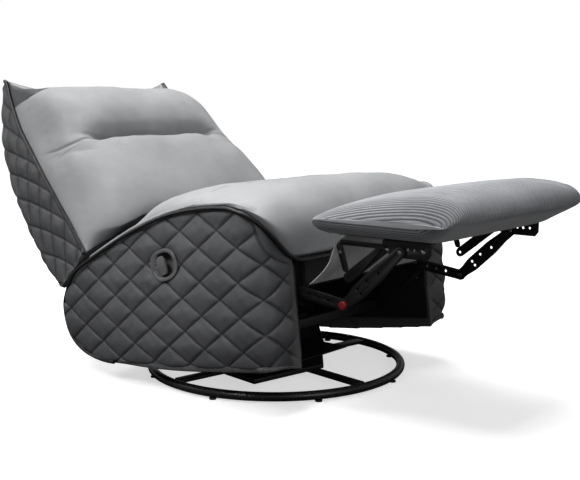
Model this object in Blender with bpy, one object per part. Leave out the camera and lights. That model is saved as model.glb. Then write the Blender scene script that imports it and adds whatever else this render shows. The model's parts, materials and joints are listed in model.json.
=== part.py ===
# Manual reclining chair on a swivelling, rocking base, in metres.
# It stands as it is used lying back: back down, footrest out, body rocked backwards.
# Rocking pieces are drawn level, in the chair frame, and hang from an empty on the rocking axis.
# +Y is the back of the chair, -Y the foot end, +Z up.

from math import atan2, cos, degrees, hypot, pi, radians, sin, sqrt

import bmesh
import bpy
from mathutils import Matrix, Vector

for old in list(bpy.data.objects):
    bpy.data.objects.remove(old, do_unlink=True)

# Driving dimensions
ROCK_BACK = radians(7.0)
BASE_TURN = radians(-9.5)
GAP = 0.0003
OVERRUN = 0.004

RING_RADIUS = 0.325
RING_TUBE = 0.011
RING_HEIGHT = 0.016
FLOOR_LEVEL = 0.020
RING_STEPS = 48
GLIDE_COUNT = 8
GLIDE_RADIUS = 0.009
SPOKE_WIDTH = 0.028
SPOKE_THICKNESS = 0.009
TURNTABLE_WIDTH = 0.322
TURNTABLE_LEFT = 0.205
TURNTABLE_RIGHT = 0.020
TURNTABLE_NOSE = 0.110
TURNTABLE_THICKNESS = 0.012
BEARING_RADIUS = 0.080
BEARING_WIDTH = 0.030
BEARING_HEIGHT = 0.009

ROCKER_WIDTH = 0.270
ROCKER_FRONT = -0.130
ROCKER_BACK = 0.190
ROCKER_SHEET = 0.004
CHEEK_LENGTH = 0.150
CHEEK_TOP_LENGTH = 0.060
CHEEK_RISE = 0.022
SHAFT_Y = 0.0
SHAFT_Z = 0.150
SHAFT_RADIUS = 0.008
SHAFT_PLAY = 0.0006
SPRING_RADIUS = 0.015
SPRING_WIRE = 0.0022
SPRING_TURNS = 5
SPRING_POINTS = 10
SPRING_X = 0.085

RAIL_SIDE = 0.024
FRONT_RAIL_Y = -0.155
REAR_RAIL_Y = 0.170
BEAM_HEIGHT = 0.036
BEAM_THICKNESS = 0.006
BEAM_SPACING = 0.300

CHAIR_WIDTH = 0.774
PANEL_THICKNESS = 0.117
PANEL_FRONT = -0.320
PANEL_BOTTOM = 0.087
PANEL_LENGTH = 0.680
PANEL_HEIGHT = 0.379
CORNER_RADIUS = 0.055
EDGE_ROUND = 0.018
EDGE_DRAW = 0.65
INNER_DROP = 0.012
LIP_HEIGHT = 0.333
LIP_SIDE_HEIGHT = 0.455
LINING_THICKNESS = 0.008
LINING_INSET = 0.012
PIPING_RADIUS = 0.0045
PIPING_END_ROOM = 0.015
LINING_END_ROOM = 0.110
LINING_CORNER = 0.040
LINING_CHAMFER = 0.070

SEAT_CROWN = 0.174
SEAT_EDGE = 0.006
BOX_SIDE_ROOM = 0.038
BOX_WIDTH = CHAIR_WIDTH - 2 * (PANEL_THICKNESS + BOX_SIDE_ROOM)
BOX_BOTTOM = 0.318
APRON_DROP = 0.054
APRON_THICKNESS = 0.018

BACK_PIVOT_Y = 0.2116
BACK_PIVOT_RISE_SHARE = 0.6364
BACK_PIVOT_Z = PANEL_BOTTOM + PANEL_HEIGHT * BACK_PIVOT_RISE_SHARE
BACK_LEAN = radians(52.0)
BACK_FOOT = 0.080
BACK_LENGTH = 0.592
BACK_FOOT_ROOM = 0.002
BACK_FOOT_WIDTH = CHAIR_WIDTH - 2 * BACK_FOOT_ROOM
BACK_TOP_WIDTH = 0.584
BACK_EDGE = 0.003
BACK_DEPTH = 0.190
BACK_MIDDLE_DEPTH = 0.120
HEAD_ROLL = 0.050
TOP_DIP = 0.064
SIDE_SHELL_DROP = 0.018
SIDE_FOOT_DROP = 0.054
BACK_CUSHION_DEPTH = 0.109
HINGE_FOOT_THICKNESS = 0.003
HINGE_FOOT_LENGTH = 0.080
HINGE_FOOT_WIDTH = 0.030
CUSHION_FOOT_RADIUS = 0.126

LINK_THICKNESS = 0.003
LINK_PLAY = 0.0006
LINK_WIDTH = 0.026
LINK_FACETS = 12
REAR_PIVOT = (-0.300, 0.260)
KNEE_PIVOT = (-0.434, 0.226)
FOOT_PIVOT = (-0.587, 0.335)
LIFT_ARM_TOP = (0.0052, 0.1283)
LIFT_ARM_FOOT = (-0.0045, 0.0782)
ELBOW = (-0.0100, 0.0590)
UPPER_LINK_END = (-0.1100, 0.1190)
PIN_RADIUS = 0.005
BUSHING_RADIUS = 0.0095
BUSHING_LENGTH = 0.008
HOLE_RADIUS = 0.0035

FOOT_WIDTH = 0.596
FOOT_DEPTH = 0.372
FOOT_THICKNESS = 0.102
FOOT_REAR = (-0.384, 0.398)
FOOT_SLOPE = radians(7.0)
FOOT_CORNER = 0.036
BOARD_THICKNESS = 0.012
BOARD_INSET = 0.052
BOARD_FRONT_INSET = 0.082
BRACKET_FLANGE = 0.030
BRACKET_LENGTH = 0.125
BRACKET_DROP = 0.036
BAR_HEIGHT = 0.011

LATCH_Y = -0.033
LATCH_Z = 0.338
LATCH_TURN = radians(14.0)
LATCH_WIDTH = 0.088
LATCH_HEIGHT = 0.074
LATCH_PROUD = 0.005
LATCH_RIM = 0.009
LATCH_DEPTH = 0.026
LATCH_WALL = 0.0022
LATCH_SLACK = 0.0020
LATCH_PIN = 0.0036
LATCH_HINGE_ROOM = 0.006
LATCH_HANDLE_THICKNESS = 0.005
LATCH_POWER = 0.8

CURTAIN_WIDTH = 0.440
CURTAIN_THICKNESS = 0.003
CURTAIN_FOLD = 0.006
CURTAIN_WAVES = 5
PIPING_SET_BACK = 0.030
PIPING_BASE = -0.006
BACK_ROWS = 20
FOOT_STATIONS = 20
FOOT_SIDE_RISE = 0.020

HALF = CHAIR_WIDTH / 2
PANEL_INNER = HALF - PANEL_THICKNESS
PLATE_OUTER = PANEL_INNER - LINING_THICKNESS - 2 * GAP


def lerp(a, b, share):
    return a + (b - a) * share


def smooth(share):
    share = min(max(share, 0.0), 1.0)
    return share * share * (3 - 2 * share)


def read_table(table, place):
    # straight-line reading of a table of (place share, value share) pairs
    if place <= table[0][0]:
        return table[0][1]
    for (x0, y0), (x1, y1) in zip(table, table[1:]):
        if place <= x1:
            return lerp(y0, y1, (place - x0) / (x1 - x0))
    return table[-1][1]


def make_material(name, colour, roughness, metallic=0.0):
    material = bpy.data.materials.new(name)
    material.use_nodes = True
    shader = material.node_tree.nodes["Principled BSDF"]
    shader.inputs["Base Color"].default_value = (*colour, 1.0)
    shader.inputs["Roughness"].default_value = roughness
    shader.inputs["Metallic"].default_value = metallic
    material.diffuse_color = (*colour, 1.0)
    return material


grey_leather = ("grey leatherette", (0.33, 0.34, 0.35), 0.55, 0.0)
dark_leather = ("charcoal quilted leatherette", (0.055, 0.055, 0.06), 0.5, 0.0)
ribbed_cloth = ("ribbed slate cloth", (0.09, 0.095, 0.105), 0.8, 0.0)
curtain_cloth = ("grey curtain cloth", (0.27, 0.28, 0.29), 0.9, 0.0)
lining_cloth = ("black lining cloth", (0.012, 0.012, 0.013), 0.9, 0.0)
piping_cord = ("black piping", (0.01, 0.01, 0.011), 0.45, 0.0)
black_steel = ("black enamelled steel", (0.018, 0.018, 0.02), 0.35, 0.6)
spring_steel = ("spring steel", (0.25, 0.25, 0.26), 0.35, 1.0)
plywood = ("plywood", (0.36, 0.24, 0.13), 0.7, 0.0)
foam_board = ("black covered seat frame", (0.02, 0.02, 0.021), 0.9, 0.0)
glide_plastic = ("black glide plastic", (0.02, 0.02, 0.02), 0.5, 0.0)
red_plastic = ("red bushing plastic", (0.42, 0.02, 0.02), 0.4, 0.0)
latch_plastic = ("grey gloss plastic", (0.11, 0.11, 0.115), 0.25, 0.0)


# Empties that carry the moving bodies

def make_axis(name, parent, place):
    axis = bpy.data.objects.new(name, None)
    axis.parent = parent
    axis.location = place
    bpy.context.collection.objects.link(axis)
    return axis


def chair_to_world(y, z):
    c, s = cos(ROCK_BACK), sin(ROCK_BACK)
    return Vector((0.0, c * y + s * z, c * z - s * y - FLOOR_LEVEL))


floor_centre = make_axis("floor_centre", None, (0.0, 0.0, 0.0))
swivel_axis = make_axis("swivel_axis", floor_centre, (0.0, 0.0, 0.0))
rock_axis = make_axis("rock_axis", swivel_axis, chair_to_world(SHAFT_Y, SHAFT_Z))
rock_axis.rotation_euler = (-ROCK_BACK, 0.0, 0.0)

# where each empty stands in the level chair frame
chair_places = {rock_axis: (0.0, SHAFT_Y, SHAFT_Z)}


def make_chair_axis(name, parent, place, x=0.0):
    start = chair_places[parent]
    axis = make_axis(name, parent, (x - start[0], place[0] - start[1], place[1] - start[2]))
    chair_places[axis] = (x, *place)
    return axis


back_axis = make_chair_axis("back_axis", rock_axis, (BACK_PIVOT_Y, BACK_PIVOT_Z))
rear_link_axis = make_chair_axis("rear_link_axis", rock_axis, REAR_PIVOT)
knee_axis = make_chair_axis("knee_axis", rear_link_axis, KNEE_PIVOT)
foot_axis = make_chair_axis("foot_axis", knee_axis, FOOT_PIVOT)


def add_node(name, mesh, finish, carrier):
    node = bpy.data.objects.new(name, mesh)
    bpy.context.collection.objects.link(node)
    node.parent = carrier
    if carrier in chair_places:
        node.location = [-place for place in chair_places[carrier]]
    node.data.materials.append(make_material(name + " " + finish[0], *finish[1:]))
    return node


def finish_mesh(name, work, sharp=35.0):
    bmesh.ops.recalc_face_normals(work, faces=work.faces)
    mesh = bpy.data.meshes.new(name)
    work.to_mesh(mesh)
    work.free()
    mesh.shade_smooth()
    mesh.set_sharp_from_angle(angle=radians(sharp))
    return mesh


def strip_cap(work, row, split):
    # triangles across a bent end, between the near run and the far run of a ring
    near, far = row[:split], row[split:][::-1]
    i = j = 0
    while i < len(near) - 1 or j < len(far) - 1:
        if j == len(far) - 1 or (i < len(near) - 1 and near[i + 1].co.x <= far[j + 1].co.x):
            work.faces.new((near[i], near[i + 1], far[j]))
            i += 1
        else:
            work.faces.new((near[i], far[j + 1], far[j]))
            j += 1


def loft(name, rings, closed=False, split=0):
    # skin a list of rings with the same number of points; open runs get flat caps,
    # or bent ones where the ring splits into two runs from -X to +X and back
    work = bmesh.new()
    rows = [[work.verts.new(point) for point in ring] for ring in rings]
    pairs = list(zip(rows, rows[1:]))
    if closed:
        pairs.append((rows[-1], rows[0]))
    for row, next_row in pairs:
        for i in range(len(row)):
            j = (i + 1) % len(row)
            work.faces.new((row[i], row[j], next_row[j], next_row[i]))
    # facing surfaces of two pieces fold along the same diagonals, so they never cross
    bmesh.ops.triangulate(work, faces=work.faces[:], quad_method="SHORT_EDGE")
    if split:
        strip_cap(work, rows[0], split)
        strip_cap(work, rows[-1], split)
    elif not closed:
        work.faces.new(rows[0])
        work.faces.new(rows[-1])
    return finish_mesh(name, work)


def plate(name, outline, x0, x1):
    # an outline of (y, z) points pushed out along X
    return loft(name, [[(x, y, z) for y, z in outline] for x in (x0, x1)])


def slab(name, low, high):
    outline = [(low[1], low[2]), (high[1], low[2]), (high[1], high[2]), (low[1], high[2])]
    return plate(name, outline, low[0], high[0])


def disc_points(centre, radius, axis, count, turn=0.0):
    ring = []
    for i in range(count):
        a = turn + 2 * pi * i / count
        p, q = radius * cos(a), radius * sin(a)
        if axis == "X":
            ring.append((centre[0], centre[1] + p, centre[2] + q))
        else:
            ring.append((centre[0] + p, centre[1] + q, centre[2]))
    return ring


def cylinder(name, start, end, radius, count=12):
    axis = "X" if abs(end[0] - start[0]) > abs(end[2] - start[2]) else "Z"
    return loft(name, [disc_points(start, radius, axis, count), disc_points(end, radius, axis, count)])


def add_cut(node, mesh, operation="DIFFERENCE"):
    # a hidden helper solid in the same frame as the node it works on
    cutter = bpy.data.objects.new(node.name + " " + mesh.name, mesh)
    bpy.context.collection.objects.link(cutter)
    cutter.parent = node.parent
    cutter.location = node.location
    cutter.hide_render = True
    cutter.display_type = "WIRE"
    cut = node.modifiers.new(mesh.name, "BOOLEAN")
    cut.operation = operation
    cut.object = cutter
    cut.solver = "EXACT"
    return cutter


def drill(node, centres, radius, x0, x1, count=LINK_FACETS):
    # round holes along X through a plate, all in one cutter
    work = bmesh.new()
    low, high = min(x0, x1) - OVERRUN, max(x0, x1) + OVERRUN
    for y, z in centres:
        rings = [[work.verts.new(p) for p in disc_points((x, y, z), radius, "X", count)] for x in (low, high)]
        for i in range(count):
            j = (i + 1) % count
            work.faces.new((rings[0][i], rings[0][j], rings[1][j], rings[1][i]))
        work.faces.new(rings[0])
        work.faces.new(rings[1])
    add_cut(node, finish_mesh("holes", work))


def tube_curve(name, points, radius, resolution, closed=False):
    curve = bpy.data.curves.new(name, "CURVE")
    curve.dimensions = "3D"
    curve.bevel_depth = radius
    curve.bevel_resolution = resolution
    curve.use_fill_caps = True
    spline = curve.splines.new("POLY")
    spline.points.add(len(points) - 1)
    for point, place in zip(spline.points, points):
        point.co = (*place, 1.0)
    spline.use_cyclic_u = closed
    return curve


def mirrored(build):
    # the same piece for the left (-X) and right (+X) side of the chair
    for side, name in ((-1, "left"), (1, "right")):
        build(side, name)


# Base: ring on glides, cross and turntable

def turned(points, angle=BASE_TURN):
    spin = Matrix.Rotation(angle, 3, "Z")
    return [tuple(spin @ Vector(p)) for p in points]


def make_ring():
    work = bmesh.new()
    profile = bmesh.ops.create_circle(work, segments=8, radius=RING_TUBE)["verts"]
    stand = Matrix.Translation((RING_RADIUS, 0.0, RING_HEIGHT)) @ Matrix.Rotation(pi / 2, 4, "X")
    bmesh.ops.transform(work, matrix=stand, verts=profile)
    bmesh.ops.spin(work, geom=work.verts[:] + work.edges[:], angle=2 * pi, steps=RING_STEPS,
                   axis=(0.0, 0.0, 1.0), cent=(0.0, 0.0, 0.0), use_merge=True)
    add_node("base_ring", finish_mesh("base_ring", work, 60.0), black_steel, floor_centre)


def make_glides():
    top = RING_HEIGHT - RING_TUBE - GAP
    for i in range(GLIDE_COUNT):
        a = BASE_TURN + 2 * pi * (i + 0.5) / GLIDE_COUNT
        x, y = RING_RADIUS * cos(a), RING_RADIUS * sin(a)
        mesh = cylinder("glide", (x, y, 0.0), (x, y, top), GLIDE_RADIUS)
        add_node("glide_%d" % (i + 1), mesh, glide_plastic, floor_centre)


def make_cross():
    w = SPOKE_WIDTH / 2
    reach = sqrt(((RING_RADIUS - RING_TUBE) * cos(pi / RING_STEPS)) ** 2 - w ** 2) - GAP
    outline = []
    for quarter in range(4):
        spin = Matrix.Rotation(quarter * pi / 2 + BASE_TURN, 2)
        for p in ((reach, -w), (reach, w), (w, w)):
            outline.append(tuple(spin @ Vector(p)))
    rings = [[(x, y, z) for x, y in outline] for z in (RING_HEIGHT, RING_HEIGHT + SPOKE_THICKNESS)]
    add_node("base_cross", loft("base_cross", rings), black_steel, floor_centre)


turntable_low = RING_HEIGHT + SPOKE_THICKNESS + GAP
turntable_top = turntable_low + TURNTABLE_THICKNESS
bearing_low = turntable_top + GAP
bearing_top = bearing_low + BEARING_HEIGHT
rocker_low = bearing_top + GAP
rocker_top = rocker_low + ROCKER_SHEET


def make_turntable():
    w = TURNTABLE_WIDTH / 2
    nose = w * 0.37
    corners = [(-TURNTABLE_LEFT, -w, 0.0), (TURNTABLE_RIGHT, -w, 0.0), (TURNTABLE_NOSE, -nose, 0.0),
               (TURNTABLE_NOSE, nose, 0.0), (TURNTABLE_RIGHT, w, 0.0), (-TURNTABLE_LEFT, w, 0.0)]
    rings = [[(x, y, z) for x, y, _ in turned(corners)] for z in (turntable_low, turntable_top)]
    add_node("turntable_plate", loft("turntable_plate", rings), black_steel, floor_centre)


def make_bearing():
    rings = []
    half = BEARING_WIDTH / 2
    for radius, z in ((BEARING_RADIUS - half, bearing_low), (BEARING_RADIUS + half, bearing_low),
                      (BEARING_RADIUS + half, bearing_top), (BEARING_RADIUS - half, bearing_top)):
        rings.append(disc_points((0.0, 0.0, z), radius, "Z", 32))
    add_node("swivel_bearing", loft("swivel_bearing", rings, closed=True), spring_steel, floor_centre)


make_ring()
make_glides()
make_cross()
make_turntable()
make_bearing()


# Rocker base: a pressed cradle that turns on the bearing and holds the rocking shaft

shaft_world = chair_to_world(SHAFT_Y, SHAFT_Z)
cheek_outer = ROCKER_WIDTH / 2
cheek_inner = cheek_outer - ROCKER_SHEET


def make_rocker_base():
    mesh = slab("rocker_base", (-cheek_outer, ROCKER_FRONT, rocker_low), (cheek_outer, ROCKER_BACK, rocker_top))
    node = add_node("rocker_base", mesh, black_steel, swivel_axis)
    top = shaft_world.z + CHEEK_RISE
    outline = [(shaft_world.y - CHEEK_LENGTH / 2, rocker_low), (shaft_world.y + CHEEK_LENGTH / 2, rocker_low),
               (shaft_world.y + CHEEK_TOP_LENGTH / 2, top), (shaft_world.y - CHEEK_TOP_LENGTH / 2, top)]
    for side in (-1, 1):
        cheek = plate("cheek %d" % side, outline, side * cheek_inner, side * cheek_outer)
        add_cut(node, cheek, "UNION")
    drill(node, [(shaft_world.y, shaft_world.z)], SHAFT_RADIUS + SHAFT_PLAY, -cheek_outer, cheek_outer, 16)


def make_shaft():
    reach = BEAM_SPACING / 2 + BEAM_THICKNESS + 2 * GAP
    ends = [(side * reach, shaft_world.y, shaft_world.z) for side in (-1, 1)]
    add_node("rocker_shaft", cylinder("rocker_shaft", *ends, SHAFT_RADIUS, 16), spring_steel, swivel_axis)


spring_foot = rocker_top + SPRING_WIRE + GAP
spring_y = chair_to_world(REAR_RAIL_Y, SHAFT_Z).y
spring_head = chair_to_world(REAR_RAIL_Y, SHAFT_Z - RAIL_SIDE / 2).z - SPRING_WIRE - 8 * GAP


def make_spring(side, name):
    points = []
    count = SPRING_TURNS * SPRING_POINTS
    for i in range(count + 1):
        a = 2 * pi * i / SPRING_POINTS
        points.append((side * SPRING_X + SPRING_RADIUS * cos(a), spring_y + SPRING_RADIUS * sin(a),
                       lerp(spring_foot, spring_head, i / count)))
    if side < 0:
        print("rocker spring: least gap between turns %.2f mm"
              % (1000 * ((spring_head - spring_foot) / SPRING_TURNS - 2 * SPRING_WIRE)))
    curve = tube_curve("rocker_spring_" + name, points, SPRING_WIRE, 1)
    add_node("rocker_spring_" + name, curve, spring_steel, swivel_axis)


make_rocker_base()
make_shaft()
mirrored(make_spring)


# Side panels: upholstered boards that carry the chair; shares of their length and height

panel_top_shares = [(0.0, 0.90), (0.048, 0.971), (0.086, 0.990), (0.163, 1.0), (0.238, 1.0), (0.311, 0.993),
                    (0.397, 0.971), (0.471, 0.939), (0.578, 0.883), (0.653, 0.835), (0.721, 0.787),
                    (0.800, 0.729), (0.860, 0.686), (0.919, 0.630), (0.972, 0.537), (0.996, 0.452)]
panel_low_shares = [(1.006, 0.386), (1.0, 0.272), (0.974, 0.174), (0.915, 0.089), (0.815, 0.034),
                    (0.706, 0.021), (0.574, 0.005), (0.397, 0.0), (0.176, 0.011), (0.0, 0.024)]
LIP_POWER = 1.25
RAMP_SLOPE = 2.2
CORNER_STEPS = (30, 50, 66, 80, 90)
seam_shares = [0.0, 0.03] + [place[0] for place in panel_top_shares[1:]]
SEAT_END_SHARE = 0.800
BOX_END_SHARE = 0.578


def panel_place(shares):
    return PANEL_FRONT + shares[0] * PANEL_LENGTH, PANEL_BOTTOM + shares[1] * PANEL_HEIGHT


def side_height(y):
    # height of the seam along the side of the chair
    return PANEL_BOTTOM + PANEL_HEIGHT * read_table(panel_top_shares, (y - PANEL_FRONT) / PANEL_LENGTH)


def lip_height(x):
    # height of the seam across the front, rising round the corners to the side seam
    share = (min(abs(x), HALF) - PANEL_INNER) / PANEL_THICKNESS
    return lerp(LIP_HEIGHT, LIP_SIDE_HEIGHT, max(share, 0.0) ** LIP_POWER)


def front_place(x):
    # plan of the front: straight, with rounded outer corners
    over = abs(x) - (HALF - CORNER_RADIUS)
    if over <= 0:
        return PANEL_FRONT
    over = min(over, CORNER_RADIUS)
    return PANEL_FRONT + CORNER_RADIUS - sqrt(CORNER_RADIUS ** 2 - over ** 2)


def seam_height(x, y):
    # the surface where the seat cushion meets the panels and the seat frame
    ramp = lip_height(x) + RAMP_SLOPE * (y - front_place(x))
    return min(side_height(y), ramp)


# stations across the chair, shared by every piece that meets at the seam under the seat cushion
panel_stations = [lerp(PANEL_INNER, HALF - CORNER_RADIUS, share) for share in (0.0, 0.45, 1.0)]
panel_stations += [HALF - CORNER_RADIUS + CORNER_RADIUS * sin(radians(step)) for step in CORNER_STEPS]
box_stations = [BOX_WIDTH / 2 * share for share in (0.0, 0.33, 0.67, 1.0)]


def both_sides(stations):
    return [-x for x in reversed(stations) if x > 0] + stations


def seam_run(x, end_share):
    # points (y, z) of the seam from the front to the given share of the panel length
    front = front_place(x)
    run = []
    for share in seam_shares:
        if share <= end_share:
            y = lerp(front, PANEL_FRONT + PANEL_LENGTH, share)
            run.append((y, seam_height(x, y)))
    return run


def make_panel(side, name):
    rings = []
    for x in panel_stations:
        edge = max(0.0, x - (HALF - EDGE_ROUND))
        inset = EDGE_DRAW * (EDGE_ROUND - sqrt(max(EDGE_ROUND ** 2 - edge ** 2, 0.0)))
        front = front_place(x)
        drop = INNER_DROP * max(0.0, 1 - (x - PANEL_INNER) / (HALF - CORNER_RADIUS - PANEL_INNER))
        ring = []
        for shares in panel_low_shares:
            y, z = panel_place(shares)
            z -= drop * (1 - shares[1]) ** 6
            ring.append((side * x, max(front, y - inset * shares[0]), z + inset * (1 - shares[1] / 2)))
        for share, (y, z) in zip(seam_shares, seam_run(x, 1.0)):
            ring.append((side * x, y - inset * smooth(share * 3 - 2), z - GAP - inset / 3))
        rings.append(ring)
    node = add_node("side_panel_" + name, loft("side_panel_" + name, rings), dark_leather, rock_axis)
    if side < 0:
        add_cut(node, latch_solid("latch pocket", LATCH_RIM - LATCH_WALL - 2 * GAP, LATCH_DEPTH + 4 * GAP, OVERRUN))


def make_lining(side, name):
    inner = PANEL_INNER - GAP - LINING_THICKNESS
    low = PANEL_BOTTOM + 2 * LINING_INSET
    front = PANEL_FRONT + LINING_INSET / 2
    end = PANEL_FRONT + PANEL_LENGTH - LINING_END_ROOM
    outline = [(front, low), (end - LINING_CHAMFER - LINING_CORNER / 2, low), (end - LINING_CORNER / 2, low + LINING_CORNER),
               (end, BOX_BOTTOM), (front, BOX_BOTTOM)]
    mesh = plate("lining_" + name, outline, side * inner, side * (PANEL_INNER - GAP))
    add_node("lining_" + name, mesh, lining_cloth, rock_axis)


def latch_ring(inset, x, count=28):
    # rounded outline of the latch, drawn in by inset, lying in the plane at x
    ring = []
    for i in range(count):
        a = 2 * pi * i / count
        c, s = cos(a), sin(a)
        p = (LATCH_WIDTH / 2 - inset) * abs(c) ** LATCH_POWER * (1 if c > 0 else -1)
        q = (LATCH_HEIGHT / 2 - inset) * abs(s) ** LATCH_POWER * (1 if s > 0 else -1)
        y = LATCH_Y + p * cos(LATCH_TURN) + q * sin(LATCH_TURN)
        z = LATCH_Z - p * sin(LATCH_TURN) + q * cos(LATCH_TURN)
        ring.append((x, y, z))
    return ring


def latch_solid(name, inset, depth, proud):
    return loft(name, [latch_ring(inset, -HALF - proud), latch_ring(inset, -HALF + depth)])


mirrored(make_panel)
mirrored(make_lining)


# Seat cushion: crowned pad over the whole width, with a rolled front and a bolster at the back

seat_profile_shares = [(-0.004, 0.017), (-0.029, 0.126), (-0.037, 0.299), (-0.032, 0.510), (-0.006, 0.708),
                       (0.050, 0.862), (0.143, 0.966), (0.255, 1.003), (0.404, 1.0), (0.551, 0.983),
                       (0.680, 0.931), (0.772, 0.845), (0.818, 0.741), (0.846, 0.644), (0.853, 0.527),
                       (0.904, 0.609), (0.959, 0.647), (1.0, 0.646)]
SEAT_ROLL = 6
SEAT_BOLSTER = 9


def seat_fullness(share, index):
    # the rear bolster falls away towards the sides, where the back comes down to the panels
    power = lerp(5, 2, smooth((index - SEAT_BOLSTER) / 5))
    return (1 - abs(share) ** power) ** 0.5


def seat_point(x, index, edge_end):
    share = min(abs(x) / HALF, 1.0)
    last = len(seat_profile_shares) - 1
    centre = seat_profile_shares[index]
    y_mid = PANEL_FRONT + centre[0] * PANEL_LENGTH * SEAT_END_SHARE
    z_mid = LIP_HEIGHT + centre[1] * SEAT_CROWN
    edge_start = front_place(HALF)
    y_edge = lerp(edge_start, edge_end, (index / last) ** 1.35)
    z_edge = side_height(y_edge)
    full = seat_fullness(share, index)
    blend = smooth(index / SEAT_ROLL)
    lip_full = (LIP_SIDE_HEIGHT - lip_height(x)) / (LIP_SIDE_HEIGHT - LIP_HEIGHT)
    plan_full = (edge_start - front_place(x)) / (edge_start - PANEL_FRONT)
    y = lerp(y_edge, y_mid, lerp(plan_full, full, blend))
    z = lerp(z_edge, z_mid, lerp(lip_full, full, blend))
    return y, max(z, seam_height(x, max(y, front_place(x))) + SEAT_EDGE)


def make_seat():
    rings = []
    last = len(seat_profile_shares) - 1
    edge_end = seam_run(HALF, SEAT_END_SHARE)[-1][0]
    for x in both_sides(box_stations + panel_stations):
        low = seam_run(x, SEAT_END_SHARE)
        top = [seat_point(x, k, edge_end) for k in range(last)]
        top.append((low[-1][0], low[-1][1] + SEAT_EDGE))
        rings.append([(x, y, z) for y, z in top + low[::-1]])
    add_node("seat_cushion", loft("seat_cushion", rings), grey_leather, rock_axis)


def make_seat_piping():
    points = []
    drop = PIPING_RADIUS + 2 * GAP
    off = PIPING_RADIUS + 2 * GAP
    end = PANEL_FRONT + PANEL_LENGTH - PIPING_END_ROOM
    side_run = [(HALF + off, lerp(end, front_place(HALF), k / 17)) for k in range(18)]
    for x, y in side_run:
        points.append((-x, y, side_height(y) - drop))
    steps = 8
    for k in range(1, steps + 1):
        a = pi / 2 * k / steps
        x = HALF - CORNER_RADIUS + (CORNER_RADIUS + off) * cos(a)
        y = PANEL_FRONT + CORNER_RADIUS - (CORNER_RADIUS + off) * sin(a)
        points.append((-x, y, min(lip_height(HALF - CORNER_RADIUS + CORNER_RADIUS * cos(a)), side_height(y)) - drop))
    straight = HALF - CORNER_RADIUS
    for k in range(1, 8):
        x = straight * (1 - k / 8)
        points.append((-x, PANEL_FRONT - off, lip_height(x) - drop))
    points += [(0.0, PANEL_FRONT - off, lip_height(0.0) - drop)]
    points += [(-x, y, z) for x, y, z in reversed(points[:-1])]
    curve = tube_curve("seat_piping", points, PIPING_RADIUS, 1)
    add_node("seat_piping", curve, piping_cord, rock_axis)


def make_seat_frame():
    rings = []
    for x in both_sides(box_stations):
        run = seam_run(x, BOX_END_SHARE)
        front, rear = run[0][0] + GAP, run[-1][0]
        ring = [(x, max(y, front), z - GAP) for y, z in run]
        ring += [(x, rear, BOX_BOTTOM), (x, front + APRON_THICKNESS, BOX_BOTTOM),
                 (x, front + APRON_THICKNESS, BOX_BOTTOM - APRON_DROP), (x, front, BOX_BOTTOM - APRON_DROP)]
        rings.append(ring)
    add_node("seat_frame", loft("seat_frame", rings), foam_board, rock_axis)


make_seat()
make_seat_piping()
make_seat_frame()


# Steel under the seat: side plates, rails and the beams that ride on the rocking shaft

def plane(layer, side):
    # the two faces of a plate in the given layer of the linkage, layer 0 outermost
    outer = PLATE_OUTER - layer * (LINK_THICKNESS + LINK_PLAY) - (BUSHING_LENGTH if layer else 0)
    return side * outer, side * (outer - LINK_THICKNESS)


def stadium(start, end, width, facets=LINK_FACETS):
    # outline of a link: two half circles joined by straight edges
    (y0, z0), (y1, z1) = start, end
    a = atan2(z1 - z0, y1 - y0)
    r = width / 2
    outline = []
    for (y, z), turn in ((end, a - pi / 2), (start, a + pi / 2)):
        for i in range(facets // 2 + 1):
            b = turn + pi * i / (facets // 2)
            outline.append((y + r * cos(b), z + r * sin(b)))
    return outline


plate_low = SHAFT_Z - RAIL_SIDE / 2
back_tab = (BACK_PIVOT_Y, BACK_PIVOT_Z)


def make_side_plate(side, name):
    front = REAR_PIVOT[0] - LINK_WIDTH / 2
    top = BOX_BOTTOM - 4 * GAP
    r = LINK_WIDTH * 0.6
    outline = [(front, REAR_PIVOT[1] - LINK_WIDTH), (FRONT_RAIL_Y - RAIL_SIDE, plate_low),
               (REAR_RAIL_Y + RAIL_SIDE, plate_low), (back_tab[0] + r, back_tab[1] - r),
               (back_tab[0] + r, back_tab[1] + r / 2), (back_tab[0] + r / 2, back_tab[1] + r),
               (back_tab[0] - r, back_tab[1] + r), (back_tab[0] - 2 * r, top), (front, top)]
    x0, x1 = plane(0, side)
    node = add_node("side_plate_" + name, plate("side_plate_" + name, outline, x0, x1), black_steel, rock_axis)
    hole = PIN_RADIUS + LINK_PLAY
    drill(node, [REAR_PIVOT, back_tab], hole, x0, x1, 12)


def make_rail(name, y):
    reach = PLATE_OUTER - LINK_THICKNESS - GAP
    h = RAIL_SIDE / 2
    mesh = slab(name, (-reach, y - h, SHAFT_Z - h), (reach, y + h, SHAFT_Z + h))
    add_node(name, mesh, black_steel, rock_axis)


def make_beam(side, name):
    h = RAIL_SIDE / 2 + GAP
    x0 = side * BEAM_SPACING / 2
    x1 = x0 + side * BEAM_THICKNESS
    low = SHAFT_Z - BEAM_HEIGHT / 2
    outline = [(FRONT_RAIL_Y + h, low), (REAR_RAIL_Y - h, low),
               (REAR_RAIL_Y - h, low + BEAM_HEIGHT), (FRONT_RAIL_Y + h, low + BEAM_HEIGHT)]
    node = add_node("rocker_beam_" + name, plate("rocker_beam_" + name, outline, x0, x1), black_steel, rock_axis)
    drill(node, [(SHAFT_Y, SHAFT_Z)], SHAFT_RADIUS + SHAFT_PLAY, x0, x1, 16)


mirrored(make_side_plate)
make_rail("front_rail", FRONT_RAIL_Y)
make_rail("rear_rail", REAR_RAIL_Y)
mirrored(make_beam)


# Footrest linkage: rear link, front link, lift arm and rib strip on each side

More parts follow.
